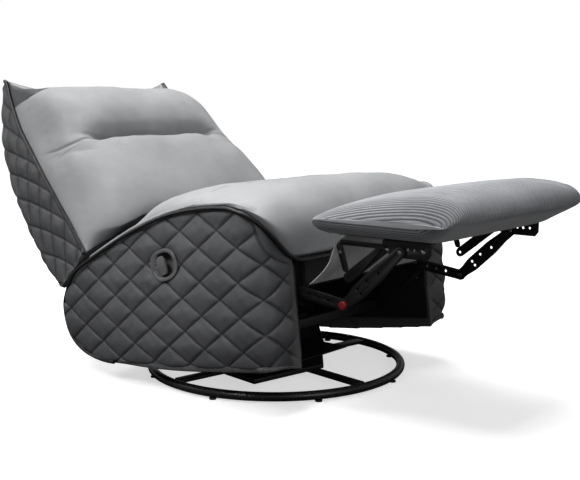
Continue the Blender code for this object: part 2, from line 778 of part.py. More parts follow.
def make_link(name, start, end, layer, side, carrier, holes=(), bores=(), width=LINK_WIDTH):
    x0, x1 = plane(layer, side)
    node = add_node(name, plate(name, stadium(start, end, width), x0, x1), black_steel, carrier)
    if bores:
        drill(node, bores, PIN_RADIUS + LINK_PLAY, x0, x1, 12)
    if holes:
        drill(node, [(lerp(start[0], end[0], h), lerp(start[1], end[1], h)) for h in holes],
              HOLE_RADIUS, x0, x1)
    return node


lift_arm_top = (KNEE_PIVOT[0] + LIFT_ARM_TOP[0], KNEE_PIVOT[1] + LIFT_ARM_TOP[1])
lift_arm_foot = (KNEE_PIVOT[0] + LIFT_ARM_FOOT[0], KNEE_PIVOT[1] + LIFT_ARM_FOOT[1])
elbow_pivot = (KNEE_PIVOT[0] + ELBOW[0], KNEE_PIVOT[1] + ELBOW[1])
upper_link_end = (KNEE_PIVOT[0] + UPPER_LINK_END[0], KNEE_PIVOT[1] + UPPER_LINK_END[1])
rear_link_holes_share = (0.28, 0.48, 0.68)
front_link_holes_share = ((0.27, 0.24), (0.43, -0.22), (0.27, -0.22), (0.62, 0.0))
front_link_shares = [(0.10, 1.0), (0.24, 1.34), (0.62, 1.34), (0.84, 1.0)]
bracket_holes_share = (0.08, 0.53, 0.66, 0.81)


def broad_link(start, end, width, shoulders):
    # a link whose middle is wider than its round ends
    (y0, z0), (y1, z1) = start, end
    reach, a = hypot(y1 - y0, z1 - z0), atan2(z1 - z0, y1 - y0)
    round_ends = stadium(start, end, width)
    half = len(round_ends) // 2
    sides = []
    for side in (1, -1):
        run = []
        for along_share, width_share in shoulders:
            along, off = reach * along_share, side * width / 2 * width_share
            run.append((y0 + along * cos(a) - off * sin(a), z0 + along * sin(a) + off * cos(a)))
        sides.append(run)
    return round_ends[:half] + sides[0][::-1] + round_ends[half:] + sides[1]


def make_front_link(side, name):
    x0, x1 = plane(2, side)
    outline = broad_link(KNEE_PIVOT, FOOT_PIVOT, LINK_WIDTH, front_link_shares)
    mesh = plate("front_link_" + name, outline, x0, x1)
    node = add_node("front_link_" + name, mesh, black_steel, knee_axis)
    drill(node, (KNEE_PIVOT, FOOT_PIVOT), PIN_RADIUS + LINK_PLAY, x0, x1, 12)
    reach = hypot(FOOT_PIVOT[0] - KNEE_PIVOT[0], FOOT_PIVOT[1] - KNEE_PIVOT[1])
    ahead = ((FOOT_PIVOT[0] - KNEE_PIVOT[0]) / reach, (FOOT_PIVOT[1] - KNEE_PIVOT[1]) / reach)
    centres = []
    for along_share, off_share in front_link_holes_share:
        along, off = reach * along_share, LINK_WIDTH * off_share
        centres.append((KNEE_PIVOT[0] + along * ahead[0] - off * ahead[1],
                        KNEE_PIVOT[1] + along * ahead[1] + off * ahead[0]))
    drill(node, centres, HOLE_RADIUS, x0, x1)


def make_linkage(side, name):
    make_link("rear_link_" + name, REAR_PIVOT, KNEE_PIVOT, 1, side, rear_link_axis,
              rear_link_holes_share, (REAR_PIVOT, KNEE_PIVOT))
    make_front_link(side, name)
    make_link("upper_link_" + name, elbow_pivot, upper_link_end, 4, side, knee_axis, (0.0, 1.0),
              (), LINK_WIDTH * 0.9)
    make_link("lift_arm_" + name, lift_arm_foot, lift_arm_top, 4, side, knee_axis,
              (), (), LINK_WIDTH * 0.58)


def make_pin(name, place, layers, side, carrier, radius=PIN_RADIUS):
    start, end = plane(layers[0], side)[0], plane(layers[1], side)[1]
    y, z = place
    mesh = cylinder(name, (start, y, z), (end, y, z), radius)
    return add_node(name, mesh, spring_steel, carrier)


def make_bushing(name, place, start, side, carrier):
    y, z = place
    end = start + side * (BUSHING_LENGTH - LINK_PLAY)
    rings = [disc_points((start, y, z), BUSHING_RADIUS, "X", 12), disc_points((end, y, z), BUSHING_RADIUS, "X", 12)]
    add_node(name, loft(name, rings), red_plastic, carrier)


def make_pins(side, name):
    make_pin("rear_pin_" + name, REAR_PIVOT, (0, 1), side, rock_axis)
    make_pin("knee_pin_" + name, KNEE_PIVOT, (1, 2), side, rear_link_axis)
    make_pin("foot_pin_" + name, FOOT_PIVOT, (2, 4), side, knee_axis)
    make_bushing("knee_bushing_" + name, KNEE_PIVOT, plane(1, side)[0] + side * GAP, side, rear_link_axis)


mirrored(make_linkage)
mirrored(make_pins)


# Footrest: padded board on two angle brackets

def foot_place(along, up):
    # along runs from the rear edge towards the feet, up is square to the board
    c, s = cos(FOOT_SLOPE), sin(FOOT_SLOPE)
    return FOOT_REAR[0] - along * c - up * s, FOOT_REAR[1] - along * s + up * c


foot_section_shares = [(0.10, 0.0), (0.035, 0.05), (0.008, 0.12), (0.0, 0.20), (0.006, 0.29), (0.03, 0.39),
                       (0.08, 0.49), (0.16, 0.61), (0.30, 0.77), (0.45, 0.90), (0.62, 1.0), (0.77, 1.05),
                       (0.88, 1.01), (0.945, 0.93), (0.985, 0.80), (1.0, 0.66), (0.994, 0.53),
                       (0.968, 0.41), (0.925, 0.30), (0.865, 0.17), (0.79, 0.0)]


def make_foot_cushion():
    rings = []
    half = FOOT_WIDTH / 2
    base = -BOARD_THICKNESS
    for i in range(FOOT_STATIONS + 1):
        share = sin(lerp(-pi / 2, pi / 2, i / FOOT_STATIONS))
        x = half * share
        corner = max(0.0, abs(x) - (half - FOOT_CORNER))
        draw = FOOT_CORNER - sqrt(max(FOOT_CORNER ** 2 - corner ** 2, 0.0))
        full = (1 - abs(share) ** 8) ** 0.5
        ring = []
        for along_share, up_share in foot_section_shares:
            along = lerp(draw, FOOT_DEPTH - draw, along_share)
            up = FOOT_THICKNESS * up_share * lerp(0.66, 1.0, full) + FOOT_SIDE_RISE * (1 - full) * (1 - up_share)
            ring.append((x, *foot_place(along, base + up)))
        rings.append(ring)
    node = add_node("foot_cushion", loft("foot_cushion", rings), ribbed_cloth, foot_axis)
    add_cut(node, foot_board_solid("board pocket", GAP, OVERRUN))


def foot_board_solid(name, slack, below):
    half = FOOT_WIDTH / 2 - BOARD_INSET + slack
    low, high = -BOARD_THICKNESS - below, slack
    near, far = BOARD_INSET - slack, FOOT_DEPTH - BOARD_FRONT_INSET + slack
    outline = [foot_place(near, low), foot_place(far, low), foot_place(far, high), foot_place(near, high)]
    return plate(name, outline, -half, half)


def make_foot_board():
    add_node("foot_board", foot_board_solid("foot_board", 0.0, 0.0), plywood, foot_axis)


def make_bracket(side, name):
    # angle section: a drilled upright flange outside, a flat flange against the board
    x0, x1 = plane(3, side)
    inner = x0 - side * BRACKET_FLANGE
    top = -GAP - BOARD_THICKNESS
    pivot_along = (FOOT_REAR[0] - FOOT_PIVOT[0]) / cos(FOOT_SLOPE)
    front = pivot_along + BRACKET_LENGTH * 0.62
    rear = pivot_along - BRACKET_LENGTH * 0.32
    bar_rear = rear - BRACKET_LENGTH * 0.88
    bar_top = top - BRACKET_DROP * 0.30
    upright_top = top - LINK_THICKNESS * 0.4
    upright = [foot_place(front, upright_top), foot_place(rear, upright_top), foot_place(rear, bar_top),
               foot_place(bar_rear, bar_top), foot_place(bar_rear, bar_top - BAR_HEIGHT),
               foot_place(rear, bar_top - BAR_HEIGHT), foot_place(pivot_along - LINK_WIDTH / 2, top - BRACKET_DROP),
               foot_place(front - LINK_WIDTH / 3, top - BRACKET_DROP), foot_place(front, top - BRACKET_DROP * 0.7)]
    mesh = plate("foot_bracket_" + name, upright, x0, x1)
    node = add_node("foot_bracket_" + name, mesh, black_steel, foot_axis)
    near, far = rear + LINK_THICKNESS, front - LINK_THICKNESS
    flat = [foot_place(far, top), foot_place(near, top),
            foot_place(near, top - LINK_THICKNESS), foot_place(far, top - LINK_THICKNESS)]
    add_cut(node, plate("flat flange", flat, inner, x0 - side * LINK_THICKNESS / 2), "UNION")
    drill(node, [FOOT_PIVOT], PIN_RADIUS + LINK_PLAY, x0, x1, 12)
    drop = top - BRACKET_DROP * 0.48
    centres = []
    for share in bracket_holes_share:
        along = lerp(rear, front, share)
        if abs(along - pivot_along) > LINK_WIDTH / 2:
            centres.append(foot_place(along, drop))
    drill(node, centres, HOLE_RADIUS, x0, x1)


make_foot_cushion()
make_foot_board()
mirrored(make_bracket)


# Cloth curtain between the seat front and the footrest

curtain_line_shares = [(0.0, 0.0), (0.14, 0.10), (0.34, 0.26), (0.50, 0.46), (0.60, 0.68), (0.76, 0.87), (1.0, 1.0)]
curtain_low = (PANEL_FRONT, BOX_BOTTOM - APRON_DROP + 2 * CURTAIN_THICKNESS)
curtain_high = foot_place(BOARD_INSET + 2 * CURTAIN_THICKNESS, -BOARD_THICKNESS - 2 * GAP)


def make_curtain():
    rings = []
    steps = 20
    for i in range(steps + 1):
        x = CURTAIN_WIDTH * (i / steps - 0.5)
        wave = CURTAIN_FOLD * sin(2 * pi * CURTAIN_WAVES * i / steps)
        line = []
        for out_share, up_share in curtain_line_shares:
            loose = sin(pi * up_share)
            y = lerp(curtain_low[0], curtain_high[0], out_share) - wave * loose
            z = lerp(curtain_low[1], curtain_high[1], up_share)
            line.append((y, z))
        back = [(y - CURTAIN_THICKNESS, z - CURTAIN_THICKNESS) for y, z in reversed(line)]
        rings.append([(x, y, z) for y, z in line + back])
    add_node("foot_curtain", loft("foot_curtain", rings), curtain_cloth, rock_axis)


make_curtain()


# Back: hollowed wings and rear in one upholstered shell, a two-puff cushion, piping and hinges

def back_place(up, out):
    # up runs from the hinge towards the head, out is square to the back, towards the sitter
    c, s = cos(BACK_LEAN), sin(BACK_LEAN)
    return BACK_PIVOT_Y + up * c - out * s, BACK_PIVOT_Z + up * s + out * c


back_width_shares = [(0.0, 1.0), (0.12, 0.93), (0.40, 0.72), (0.71, 0.40), (1.0, 0.0)]
wing_depth_shares = [(0.0, 0.80), (0.08, 0.88), (0.22, 0.96), (0.38, 0.93), (0.53, 0.85), (0.72, 0.69),
                     (0.87, 0.46), (0.96, 0.28), (1.0, 0.15)]
piping_line_shares = [(0.0, 0.0), (0.10, 0.0), (0.25, 0.06), (0.50, 0.30), (0.72, 0.62), (0.88, 0.45), (1.0, 0.06)]
back_columns = (-1.0, -0.8, -0.55, -0.28, 0.0, 0.28, 0.55, 0.8, 1.0)


def back_half_width(share):
    return lerp(BACK_TOP_WIDTH, BACK_FOOT_WIDTH, read_table(back_width_shares, share)) / 2


def back_front(share):
    # how far out the piping line runs at this share of the back's length
    return PIPING_BASE - PIPING_SET_BACK * read_table(piping_line_shares, share)


foot_share = (CUSHION_FOOT_RADIUS - BACK_FOOT) / BACK_LENGTH
FOOT_LEVEL_SHARE = 0.8
CUSHION_LEVEL_SHARE = 0.5
side_drop_table = [(0.0, SIDE_SHELL_DROP), (foot_share, SIDE_FOOT_DROP), (0.20, SIDE_FOOT_DROP),
                   (0.30, SIDE_FOOT_DROP * 0.6), (0.46, 0.0)]


def side_drop(share, across, level=FOOT_LEVEL_SHARE):
    # the foot comes down outside the seat's bolster
    return read_table(side_drop_table, share) * smooth((abs(across) - level) / (1 - level))


def back_up(share, across):
    # the top edge dips between the ears
    dip = TOP_DIP * share * (1 - abs(across) ** 2)
    return BACK_FOOT + share * (BACK_LENGTH - dip) - side_drop(share, across)


cushion_rows = [lerp(foot_share, 1.0, k / BACK_ROWS) for k in range(BACK_ROWS + 1)]


def make_back_shell():
    rings = []
    for share in [0.0] + cushion_rows:
        half = back_half_width(share)
        front = back_front(share) - GAP
        wing = BACK_DEPTH * read_table(wing_depth_shares, share)
        middle = max(lerp(BACK_MIDDLE_DEPTH, HEAD_ROLL, share), 0.0)
        depth = min(middle, wing + HEAD_ROLL)
        ring = []
        around = [(-1.0, 0.25), (-1.0, 0.6), (-0.97, 0.88), (-0.90, 1.0)]
        around += [(across, 1.0) for across in back_columns[1:-1]]
        around += [(0.90, 1.0), (0.97, 0.88), (1.0, 0.6), (1.0, 0.25)]
        around += [(across, 0.0) for across in reversed(back_columns)]
        for across, out_share in around:
            inner = 1 - abs(across) ** 4
            back = lerp(wing, depth, inner)
            up = back_up(share, across)
            ring.append((half * across, *back_place(up, front - back * out_share)))
        rings.append(ring)
    split = len(around) - len(back_columns)
    add_node("back_shell", loft("back_shell", rings, split=split), dark_leather, back_axis)


# middle of the cushion from foot to head: shares of the back's length and of the cushion's depth
back_profile_shares = [(0.077, 0.055), (0.079, 0.275), (0.062, 0.532), (0.040, 0.725), (0.054, 0.872),
                       (0.092, 0.954), (0.151, 0.991), (0.227, 1.000), (0.306, 0.982), (0.395, 0.899),
                       (0.454, 0.716), (0.491, 0.459), (0.514, 0.661), (0.555, 0.881), (0.617, 0.954),
                       (0.688, 0.950), (0.754, 0.862), (0.806, 0.715), (0.849, 0.520), (0.881, 0.300),
                       (0.888, 0.055)]
CUSHION_COLUMNS = 18
CREASE_ROWS = (9, 14)
CREASE_FADE = 0.8


def make_back_cushion():
    rings = []
    for k, share in enumerate(cushion_rows):
        up_share, out_share = back_profile_shares[k]
        rise = min(max((k - CREASE_ROWS[0]) / (CREASE_ROWS[1] - CREASE_ROWS[0]), 0.0), 1.0)
        plain_share = out_share
        if 0 < rise < 1:
            plain_share = lerp(back_profile_shares[CREASE_ROWS[0]][1], back_profile_shares[CREASE_ROWS[1]][1], rise)
        half = back_half_width(share) - GAP
        line = back_front(share)
        middle_up = BACK_FOOT + up_share * BACK_LENGTH
        front = []
        for i in range(CUSHION_COLUMNS + 1):
            across = sin(lerp(-pi / 2, pi / 2, i / CUSHION_COLUMNS))
            full = (1 - abs(across) ** 7) ** 0.5
            up = lerp(back_up(share, across), middle_up, full)
            up -= side_drop(share, across, CUSHION_LEVEL_SHARE) * full
            fade = CREASE_FADE * smooth((abs(across) - 0.45) / 0.35)
            out = lerp(line + BACK_EDGE, BACK_CUSHION_DEPTH * lerp(out_share, plain_share, fade), full)
            front.append((half * across, *back_place(up, max(out, line + BACK_EDGE))))
        rear = [(half * across, *back_place(back_up(share, across), line)) for across in back_columns]
        rings.append(front + rear[::-1])
    mesh = loft("back_cushion", rings, split=CUSHION_COLUMNS + 1)
    add_node("back_cushion", mesh, grey_leather, back_axis)


def make_back_piping(side, name):
    points = []
    off = PIPING_RADIUS + 2 * GAP
    for k in range(21):
        share = k / 20
        points.append((side * (back_half_width(share) + off),
                       *back_place(back_up(share, 1.0), back_front(share) + GAP)))
    curve = tube_curve("back_piping_" + name, points, PIPING_RADIUS, 1)
    add_node("back_piping_" + name, curve, piping_cord, back_axis)


def make_back_hinge(side, name):
    # an arm from the pivot with a foot plate turned in under the shell
    x0, x1 = plane(1, side)
    high = BACK_FOOT - GAP
    low = high - HINGE_FOOT_THICKNESS
    reach = HINGE_FOOT_LENGTH
    r = LINK_WIDTH / 2
    outline = [(low, -reach), (low, -reach * 0.4)]
    for i in range(LINK_FACETS // 2 + 1):
        a = pi / 2 + pi * i / (LINK_FACETS // 2)
        outline.append((r * cos(a), r * sin(a)))
    mesh = plate("back_hinge_" + name, [back_place(*p) for p in outline], x0, x1)
    node = add_node("back_hinge_" + name, mesh, black_steel, back_axis)
    foot = [back_place(*p) for p in ((low, -reach), (high, -reach), (high, -reach * 0.4), (low, -reach * 0.4))]
    add_cut(node, plate("foot plate", foot, x0, x1 - side * HINGE_FOOT_WIDTH), "UNION")
    drill(node, [back_tab], PIN_RADIUS + LINK_PLAY, x0, x1, 12)


def make_back_pin(side, name):
    make_pin("back_pin_" + name, back_tab, (0, 1), side, rock_axis)


make_back_shell()
make_back_cushion()
mirrored(make_back_piping)
mirrored(make_back_hinge)
mirrored(make_back_pin)


# Pull latch in the left panel

def latch_place(along, up):
    return (LATCH_Y + along * cos(LATCH_TURN) + up * sin(LATCH_TURN),
            LATCH_Z - along * sin(LATCH_TURN) + up * cos(LATCH_TURN))


def make_latch_cup():
    cup = LATCH_RIM - LATCH_WALL
    face = -HALF - GAP
    rings = [latch_ring(cup, -HALF + LATCH_DEPTH), latch_ring(cup, face), latch_ring(0.0, face),
             latch_ring(LATCH_PROUD / 3, face - LATCH_PROUD), latch_ring(LATCH_RIM, face - LATCH_PROUD),
             latch_ring(LATCH_RIM, -HALF + LATCH_DEPTH - LATCH_WALL)]
    add_node("latch_cup", loft("latch_cup", rings), latch_plastic, rock_axis)


latch_hinge_along = LATCH_WIDTH / 2 - LATCH_RIM - LATCH_HINGE_ROOM
handle_shares = [(1.0, -0.16), (1.0, 0.16), (0.62, 0.16), (0.62, 0.62), (0.40, 0.84), (-0.05, 0.84),
                 (-0.22, 0.55), (-0.22, -0.55), (-0.05, -0.84), (0.40, -0.84), (0.62, -0.62), (0.62, -0.16)]

handle_axis_place = latch_place(latch_hinge_along, 0.0)
latch_axis = make_chair_axis("latch_axis", rock_axis, handle_axis_place,
                             -HALF - LATCH_PROUD + LATCH_HANDLE_THICKNESS / 2)


def latch_rise(along, inset):
    # half height of the latch outline at this distance from its middle
    share = min(abs(along) / (LATCH_WIDTH / 2 - inset), 1.0) ** (1 / LATCH_POWER)
    return (LATCH_HEIGHT / 2 - inset) * sqrt(1 - share ** 2) ** LATCH_POWER


def make_latch_handle():
    reach = LATCH_WIDTH / 2 - LATCH_RIM - LATCH_SLACK
    rise = LATCH_HEIGHT / 2 - LATCH_RIM - LATCH_SLACK
    outline = [latch_place(a * reach, b * rise) for a, b in handle_shares]
    face = -HALF - LATCH_PROUD
    mesh = plate("latch_handle", outline, face, face + LATCH_HANDLE_THICKNESS)
    node = add_node("latch_handle", mesh, latch_plastic, latch_axis)
    # its pin reaches almost to the wall of the cup on both sides
    end = latch_rise(latch_hinge_along + LATCH_PIN / 2, LATCH_RIM) - 2 * GAP
    x = chair_places[latch_axis][0]
    rings = []
    for up in (-end, end):
        ring = []
        for i in range(8):
            a = 2 * pi * i / 8
            y, z = latch_place(latch_hinge_along + LATCH_PIN / 2 * cos(a), up)
            ring.append((x + LATCH_PIN / 2 * sin(a), y, z))
        rings.append(ring)
    add_cut(node, loft("hinge pin", rings), "UNION")


make_latch_cup()
make_latch_handle()


# Stand the chair over the middle of its own footprint

bpy.context.view_layer.update()
depsgraph = bpy.context.evaluated_depsgraph_get()
low = [1e9, 1e9]
high = [-1e9, -1e9]
for node in bpy.data.objects:
    if node.type == "EMPTY" or node.hide_render:
        continue
    solid = node.evaluated_get(depsgraph)
    shape = solid.to_mesh()
    for vertex in shape.vertices:
        place = solid.matrix_world @ vertex.co
        for axis in (0, 1):
            low[axis] = min(low[axis], place[axis])
            high[axis] = max(high[axis], place[axis])
    solid.to_mesh_clear()
floor_centre.location = (-(low[0] + high[0]) / 2, -(low[1] + high[1]) / 2, 0.0)
bpy.context.view_layer.update()
print("base centre at %.4f %.4f" % tuple(floor_centre.location[:2]))
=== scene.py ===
# Looks of a manual reclining chair on a swivelling, rocking base: leatherette, quilting, ribbed cloth, steel.
# Metres, +Z up. Shapes are drawn in the level chair frame, and toRow lays them back with the chair.

import json
import math

import bmesh
import bpy
import numpy as np
from mathutils import Matrix, Vector
from mathutils.bvhtree import BVHTree
from mathutils.kdtree import KDTree

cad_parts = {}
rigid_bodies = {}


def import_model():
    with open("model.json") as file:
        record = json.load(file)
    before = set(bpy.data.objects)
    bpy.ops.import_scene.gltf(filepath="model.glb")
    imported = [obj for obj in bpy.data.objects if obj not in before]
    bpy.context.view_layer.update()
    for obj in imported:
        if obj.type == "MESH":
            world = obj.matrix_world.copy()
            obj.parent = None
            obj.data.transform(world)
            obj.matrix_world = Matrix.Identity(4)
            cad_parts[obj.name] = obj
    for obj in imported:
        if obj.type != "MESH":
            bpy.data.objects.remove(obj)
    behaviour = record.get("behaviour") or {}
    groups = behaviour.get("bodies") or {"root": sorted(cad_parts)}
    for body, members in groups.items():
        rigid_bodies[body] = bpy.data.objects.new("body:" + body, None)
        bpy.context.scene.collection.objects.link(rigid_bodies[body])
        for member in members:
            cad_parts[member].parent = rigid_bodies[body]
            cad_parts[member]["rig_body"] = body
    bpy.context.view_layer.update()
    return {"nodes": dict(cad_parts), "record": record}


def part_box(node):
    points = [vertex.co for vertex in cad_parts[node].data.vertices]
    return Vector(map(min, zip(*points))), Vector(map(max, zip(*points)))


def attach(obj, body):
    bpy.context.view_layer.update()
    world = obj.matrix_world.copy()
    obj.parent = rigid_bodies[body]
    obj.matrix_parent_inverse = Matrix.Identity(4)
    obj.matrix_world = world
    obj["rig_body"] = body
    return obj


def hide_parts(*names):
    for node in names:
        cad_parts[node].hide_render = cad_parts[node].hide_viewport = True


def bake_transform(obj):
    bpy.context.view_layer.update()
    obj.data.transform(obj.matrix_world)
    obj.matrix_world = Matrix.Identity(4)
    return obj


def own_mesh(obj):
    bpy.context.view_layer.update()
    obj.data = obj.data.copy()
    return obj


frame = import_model()
print("frame loaded:", len(frame["nodes"]), "nodes")

scene = bpy.context.scene
baseLow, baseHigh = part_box("base_ring")
baseCentre = (baseLow + baseHigh) / 2

chair = {
    "rockBack": math.radians(7.0),
    "floorLevel": 0.020,
    "half": 0.387,
    "panelThickness": 0.117,
    "panelFront": -0.320,
    "panelBottom": 0.087,
    "panelLength": 0.680,
    "panelHeight": 0.379,
    "cornerRadius": 0.055,
    "lipHeight": 0.333,
    "lipSideHeight": 0.455,
    "gap": 0.0003,
    "pipingRadius": 0.0045,
}
half = chair["half"]
panelInner = half - chair["panelThickness"]
panelFront = chair["panelFront"]
gap = chair["gap"]
cornerRadius = chair["cornerRadius"]
panelLength, panelBottom, panelHeight = chair["panelLength"], chair["panelBottom"], chair["panelHeight"]
panelRear = panelFront + panelLength
sides = ((-1, "Left"), (1, "Right"))


# small tools

def toRow(points):
    points = np.asarray(points, float).reshape(-1, 3)
    c, s = math.cos(chair["rockBack"]), math.sin(chair["rockBack"])
    moved = points.copy()
    moved[:, 0] += baseCentre.x
    moved[:, 1] = c * points[:, 1] + s * points[:, 2] + baseCentre.y
    moved[:, 2] = c * points[:, 2] - s * points[:, 1] - chair["floorLevel"]
    return moved


def lerp(a, b, share):
    return a + (b - a) * share


def smooth(share):
    share = np.clip(share, 0.0, 1.0)
    return share * share * (3 - 2 * share)


def softRead(table, place, reach=0.02):
    # reads a table of (place, value) pairs with its corners rounded off
    table = np.array(table)
    total = 0.0
    weights = (1, 3, 5, 6, 5, 3, 1)
    for k, weight in enumerate(weights):
        total = total + weight * np.interp(place + reach * (k - 3) / 3, table[:, 0], table[:, 1])
    return total / sum(weights)


def smoothRun(table, place):
    # smooth curve through the table's points, read at a fractional index
    points = np.array(table, float)
    last = len(points) - 1
    place = np.clip(np.asarray(place, float), 0, last)
    k = np.minimum(place.astype(int), last - 1)
    f = (place - k)[..., None]
    p0, p1 = points[np.maximum(k - 1, 0)], points[k]
    p2, p3 = points[k + 1], points[np.minimum(k + 2, last)]
    return 0.5 * (2 * p1 + (p2 - p0) * f + (2 * p0 - 5 * p1 + 4 * p2 - p3) * f ** 2
                  + (3 * p1 - p0 - 3 * p2 + p3) * f ** 3)


def wander(points, size, seed=0):
    # even, repeatable unevenness between about -1 and 1, with bumps of the given size
    total = np.zeros(len(points))
    for k in range(6):
        a, b, c = (math.sin(12.9 * (k + 1) + 4.1 * seed), math.sin(7.7 * (k + 2) + 2.3 * seed),
                   math.sin(3.3 * (k + 3) + 5.9 * seed))
        length = math.sqrt(a * a + b * b + c * c)
        wave = (points @ np.array((a, b, c))) * (2 * math.pi / (size * length)) * (0.8 + 0.13 * k)
        total += np.sin(wave + 1.7 * k + seed)
    return total / 3.4


def joined(x, y, z):
    # points from three coordinates of any matching shapes
    return np.stack(np.broadcast_arrays(x, y, z), -1)


def stripCap(order, split):
    # triangles between the two long sides of a bent ring, matched by their place across
    low, high = list(range(split)), list(range(len(order) - 1, split - 1, -1))
    faces, i, j = [], 0, 0
    while i < len(low) - 1 or j < len(high) - 1:
        if j == len(high) - 1 or (i < len(low) - 1 and order[low[i + 1]] <= order[high[j + 1]]):
            faces.append([low[i], low[i + 1], high[j]])
            i += 1
        else:
            faces.append([low[i], high[j + 1], high[j]])
            j += 1
    return faces


def bentFaces(rows, order, split):
    # like gridFaces, with ends that may be bent
    faces = gridFaces(rows, len(order))[:-2]
    cap = stripCap(order, split)
    return faces + cap + [[(rows - 1) * len(order) + k for k in face] for face in cap]


def gridFaces(rows, columns):
    # rows of closed rings joined into a tube, with both ends capped
    r, c = np.meshgrid(np.arange(rows - 1), np.arange(columns), indexing="ij")
    d = (c + 1) % columns
    quads = np.stack([r * columns + c, r * columns + d, (r + 1) * columns + d, (r + 1) * columns + c], -1)
    faces = quads.reshape(-1, 4).tolist()
    faces.append(list(range(columns - 1, -1, -1)))
    faces.append(list(range((rows - 1) * columns, rows * columns)))
    return faces


def makeMesh(name, points, faces):
    mesh = bpy.data.meshes.new(name)
    mesh.from_pydata([tuple(p) for p in np.asarray(points)], [], faces)
    work = bmesh.new()
    work.from_mesh(mesh)
    bmesh.ops.recalc_face_normals(work, faces=work.faces[:])
    work.to_mesh(mesh)
    work.free()
    mesh.shade_smooth()
    return mesh


def ringMesh(name, rings):
    # closed rings joined into one capped solid
    return makeMesh(name, rings.reshape(-1, 3), gridFaces(*rings.shape[:2]))


def coordinates(mesh, kind="co"):
    values = np.zeros(len(mesh.vertices) * 3)
    mesh.vertices.foreach_get(kind, values)
    return values.reshape(-1, 3)


def setCoordinates(mesh, points):
    mesh.vertices.foreach_set("co", np.asarray(points, float).ravel())
    mesh.update()


def addObject(name, mesh):
    obj = bpy.data.objects.new(name, mesh)
    scene.collection.objects.link(obj)
    return obj


def evaluated(obj):
    # the mesh that the object's modifiers give
    bpy.context.view_layer.update()
    graph = bpy.context.evaluated_depsgraph_get()
    return bpy.data.meshes.new_from_object(obj.evaluated_get(graph))


def baked(obj):
    # the same, and the object is dropped
    mesh = evaluated(obj)
    bpy.data.objects.remove(obj, do_unlink=True)
    return mesh


def modify(obj, kind, values):
    modifier = obj.modifiers.new(kind.lower(), kind)
    for key, value in values.items():
        setattr(modifier, key, value)
    return modifier


def carve(obj, cutter):
    return modify(obj, "BOOLEAN", {"object": cutter, "solver": "EXACT", "operation": "DIFFERENCE"})


def roundEdges(obj, width, angle):
    # two-step bevel on the edges that are sharper than the angle
    modify(obj, "BEVEL", {"width": width, "segments": 2, "limit_method": "ANGLE",
                          "angle_limit": math.radians(angle)})
    mesh = baked(obj)
    mesh.shade_smooth()
    mesh.set_sharp_from_angle(angle=math.radians(45))
    return mesh


def addPiece(name, mesh, material, body, stands=()):
    mesh.materials.clear()
    mesh.materials.append(material)
    obj = addObject(name, mesh)
    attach(obj, body)
    if stands:
        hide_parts(*stands)
    return obj


def addTube(name, points, radius, material, body, stands=(), closed=False, sides=3):
    # round cord along points in the row frame
    curve = bpy.data.curves.new(name, "CURVE")
    curve.dimensions = "3D"
    curve.bevel_depth = radius
    curve.bevel_resolution = sides
    curve.use_fill_caps = not closed
    spline = curve.splines.new("POLY")
    spline.points.add(len(points) - 1)
    for point, place in zip(spline.points, points):
        point.co = (*place, 1.0)
    spline.use_cyclic_u = closed
    mesh = baked(addObject(name + "Line", curve))
    mesh.shade_smooth()
    return addPiece(name, mesh, material, body, stands)


# padded covers filled as cloth

cloth = {
    "cell": 0.008,          # of the coarser copy that is simulated
    "neighbours": 8,
    "settings": {"quality": 5, "mass": 0.3, "tension_stiffness": 12, "compression_stiffness": 12,
                 "shear_stiffness": 12, "bending_stiffness": 0.6, "air_damping": 2, "use_pressure": True,
                 "uniform_pressure_force": 4.0, "vertex_group_mass": "held"},
}


def writeOn(mesh, name, values):
    mark = mesh.attributes.new(name, "FLOAT", "POINT")
    mark.data.foreach_set("value", np.clip(values, 0, 1).astype(np.float32))


def nearTree(points):
    tree = KDTree(len(points))
    for k, place in enumerate(points):
        tree.insert(place, k)
    tree.balance()
    return tree


def clothFilled(obj, frames, cap):
    # a coarser copy of the cover is blown up as cloth, held at its seams, and the cover follows it
    mesh = obj.data
    points = coordinates(mesh)
    free = np.zeros(len(points), np.float32)
    mesh.attributes["free"].data.foreach_get("value", free)
    form = addObject("clothForm", mesh.copy())
    modify(form, "REMESH", {"mode": "VOXEL", "voxel_size": cloth["cell"]})
    coarse = baked(form)
    start = coordinates(coarse)
    tree = nearTree(points)
    held = np.array([1 - free[tree.find(place)[1]] for place in start])
    cover = addObject("clothCover", coarse)
    group = cover.vertex_groups.new(name="held")
    for k in np.nonzero(held > 0.02)[0]:
        group.add([int(k)], float(held[k]), "REPLACE")
    modifier = modify(cover, "CLOTH", {})
    for key, value in cloth["settings"].items():
        setattr(modifier.settings, key, value)
    modifier.settings.effector_weights.gravity = 0
    modifier.point_cache.frame_start, modifier.point_cache.frame_end = 1, frames
    for frameNumber in range(1, frames + 1):
        scene.frame_set(frameNumber)
    move = coordinates(baked(cover)) - start
    length = np.linalg.norm(move, axis=1, keepdims=True)
    move *= cap * np.tanh(length / cap) / np.maximum(length, 1e-9)
    scene.frame_set(1)
    tree = nearTree(start)
    follow = np.zeros_like(points)
    for k in np.nonzero(free > 0.001)[0]:
        near = tree.find_n(points[k], cloth["neighbours"])
        weights = np.array([1 / (spot[2] + 0.002) ** 2 for spot in near])
        follow[k] = weights @ move[[spot[1] for spot in near]] / weights.sum()
    setCoordinates(mesh, points + follow * free[:, None])
    print("cloth", obj.name, len(start), "points, moved up to %.1f mm" % (1000 * length.max()))


# materials

def colour(text):
    # sRGB hex to linear
    values = []
    for k in (1, 3, 5):
        c = int(text[k:k + 2], 16) / 255
        values.append(c / 12.92 if c <= 0.04045 else ((c + 0.055) / 1.055) ** 2.4)
    return (*values, 1.0)


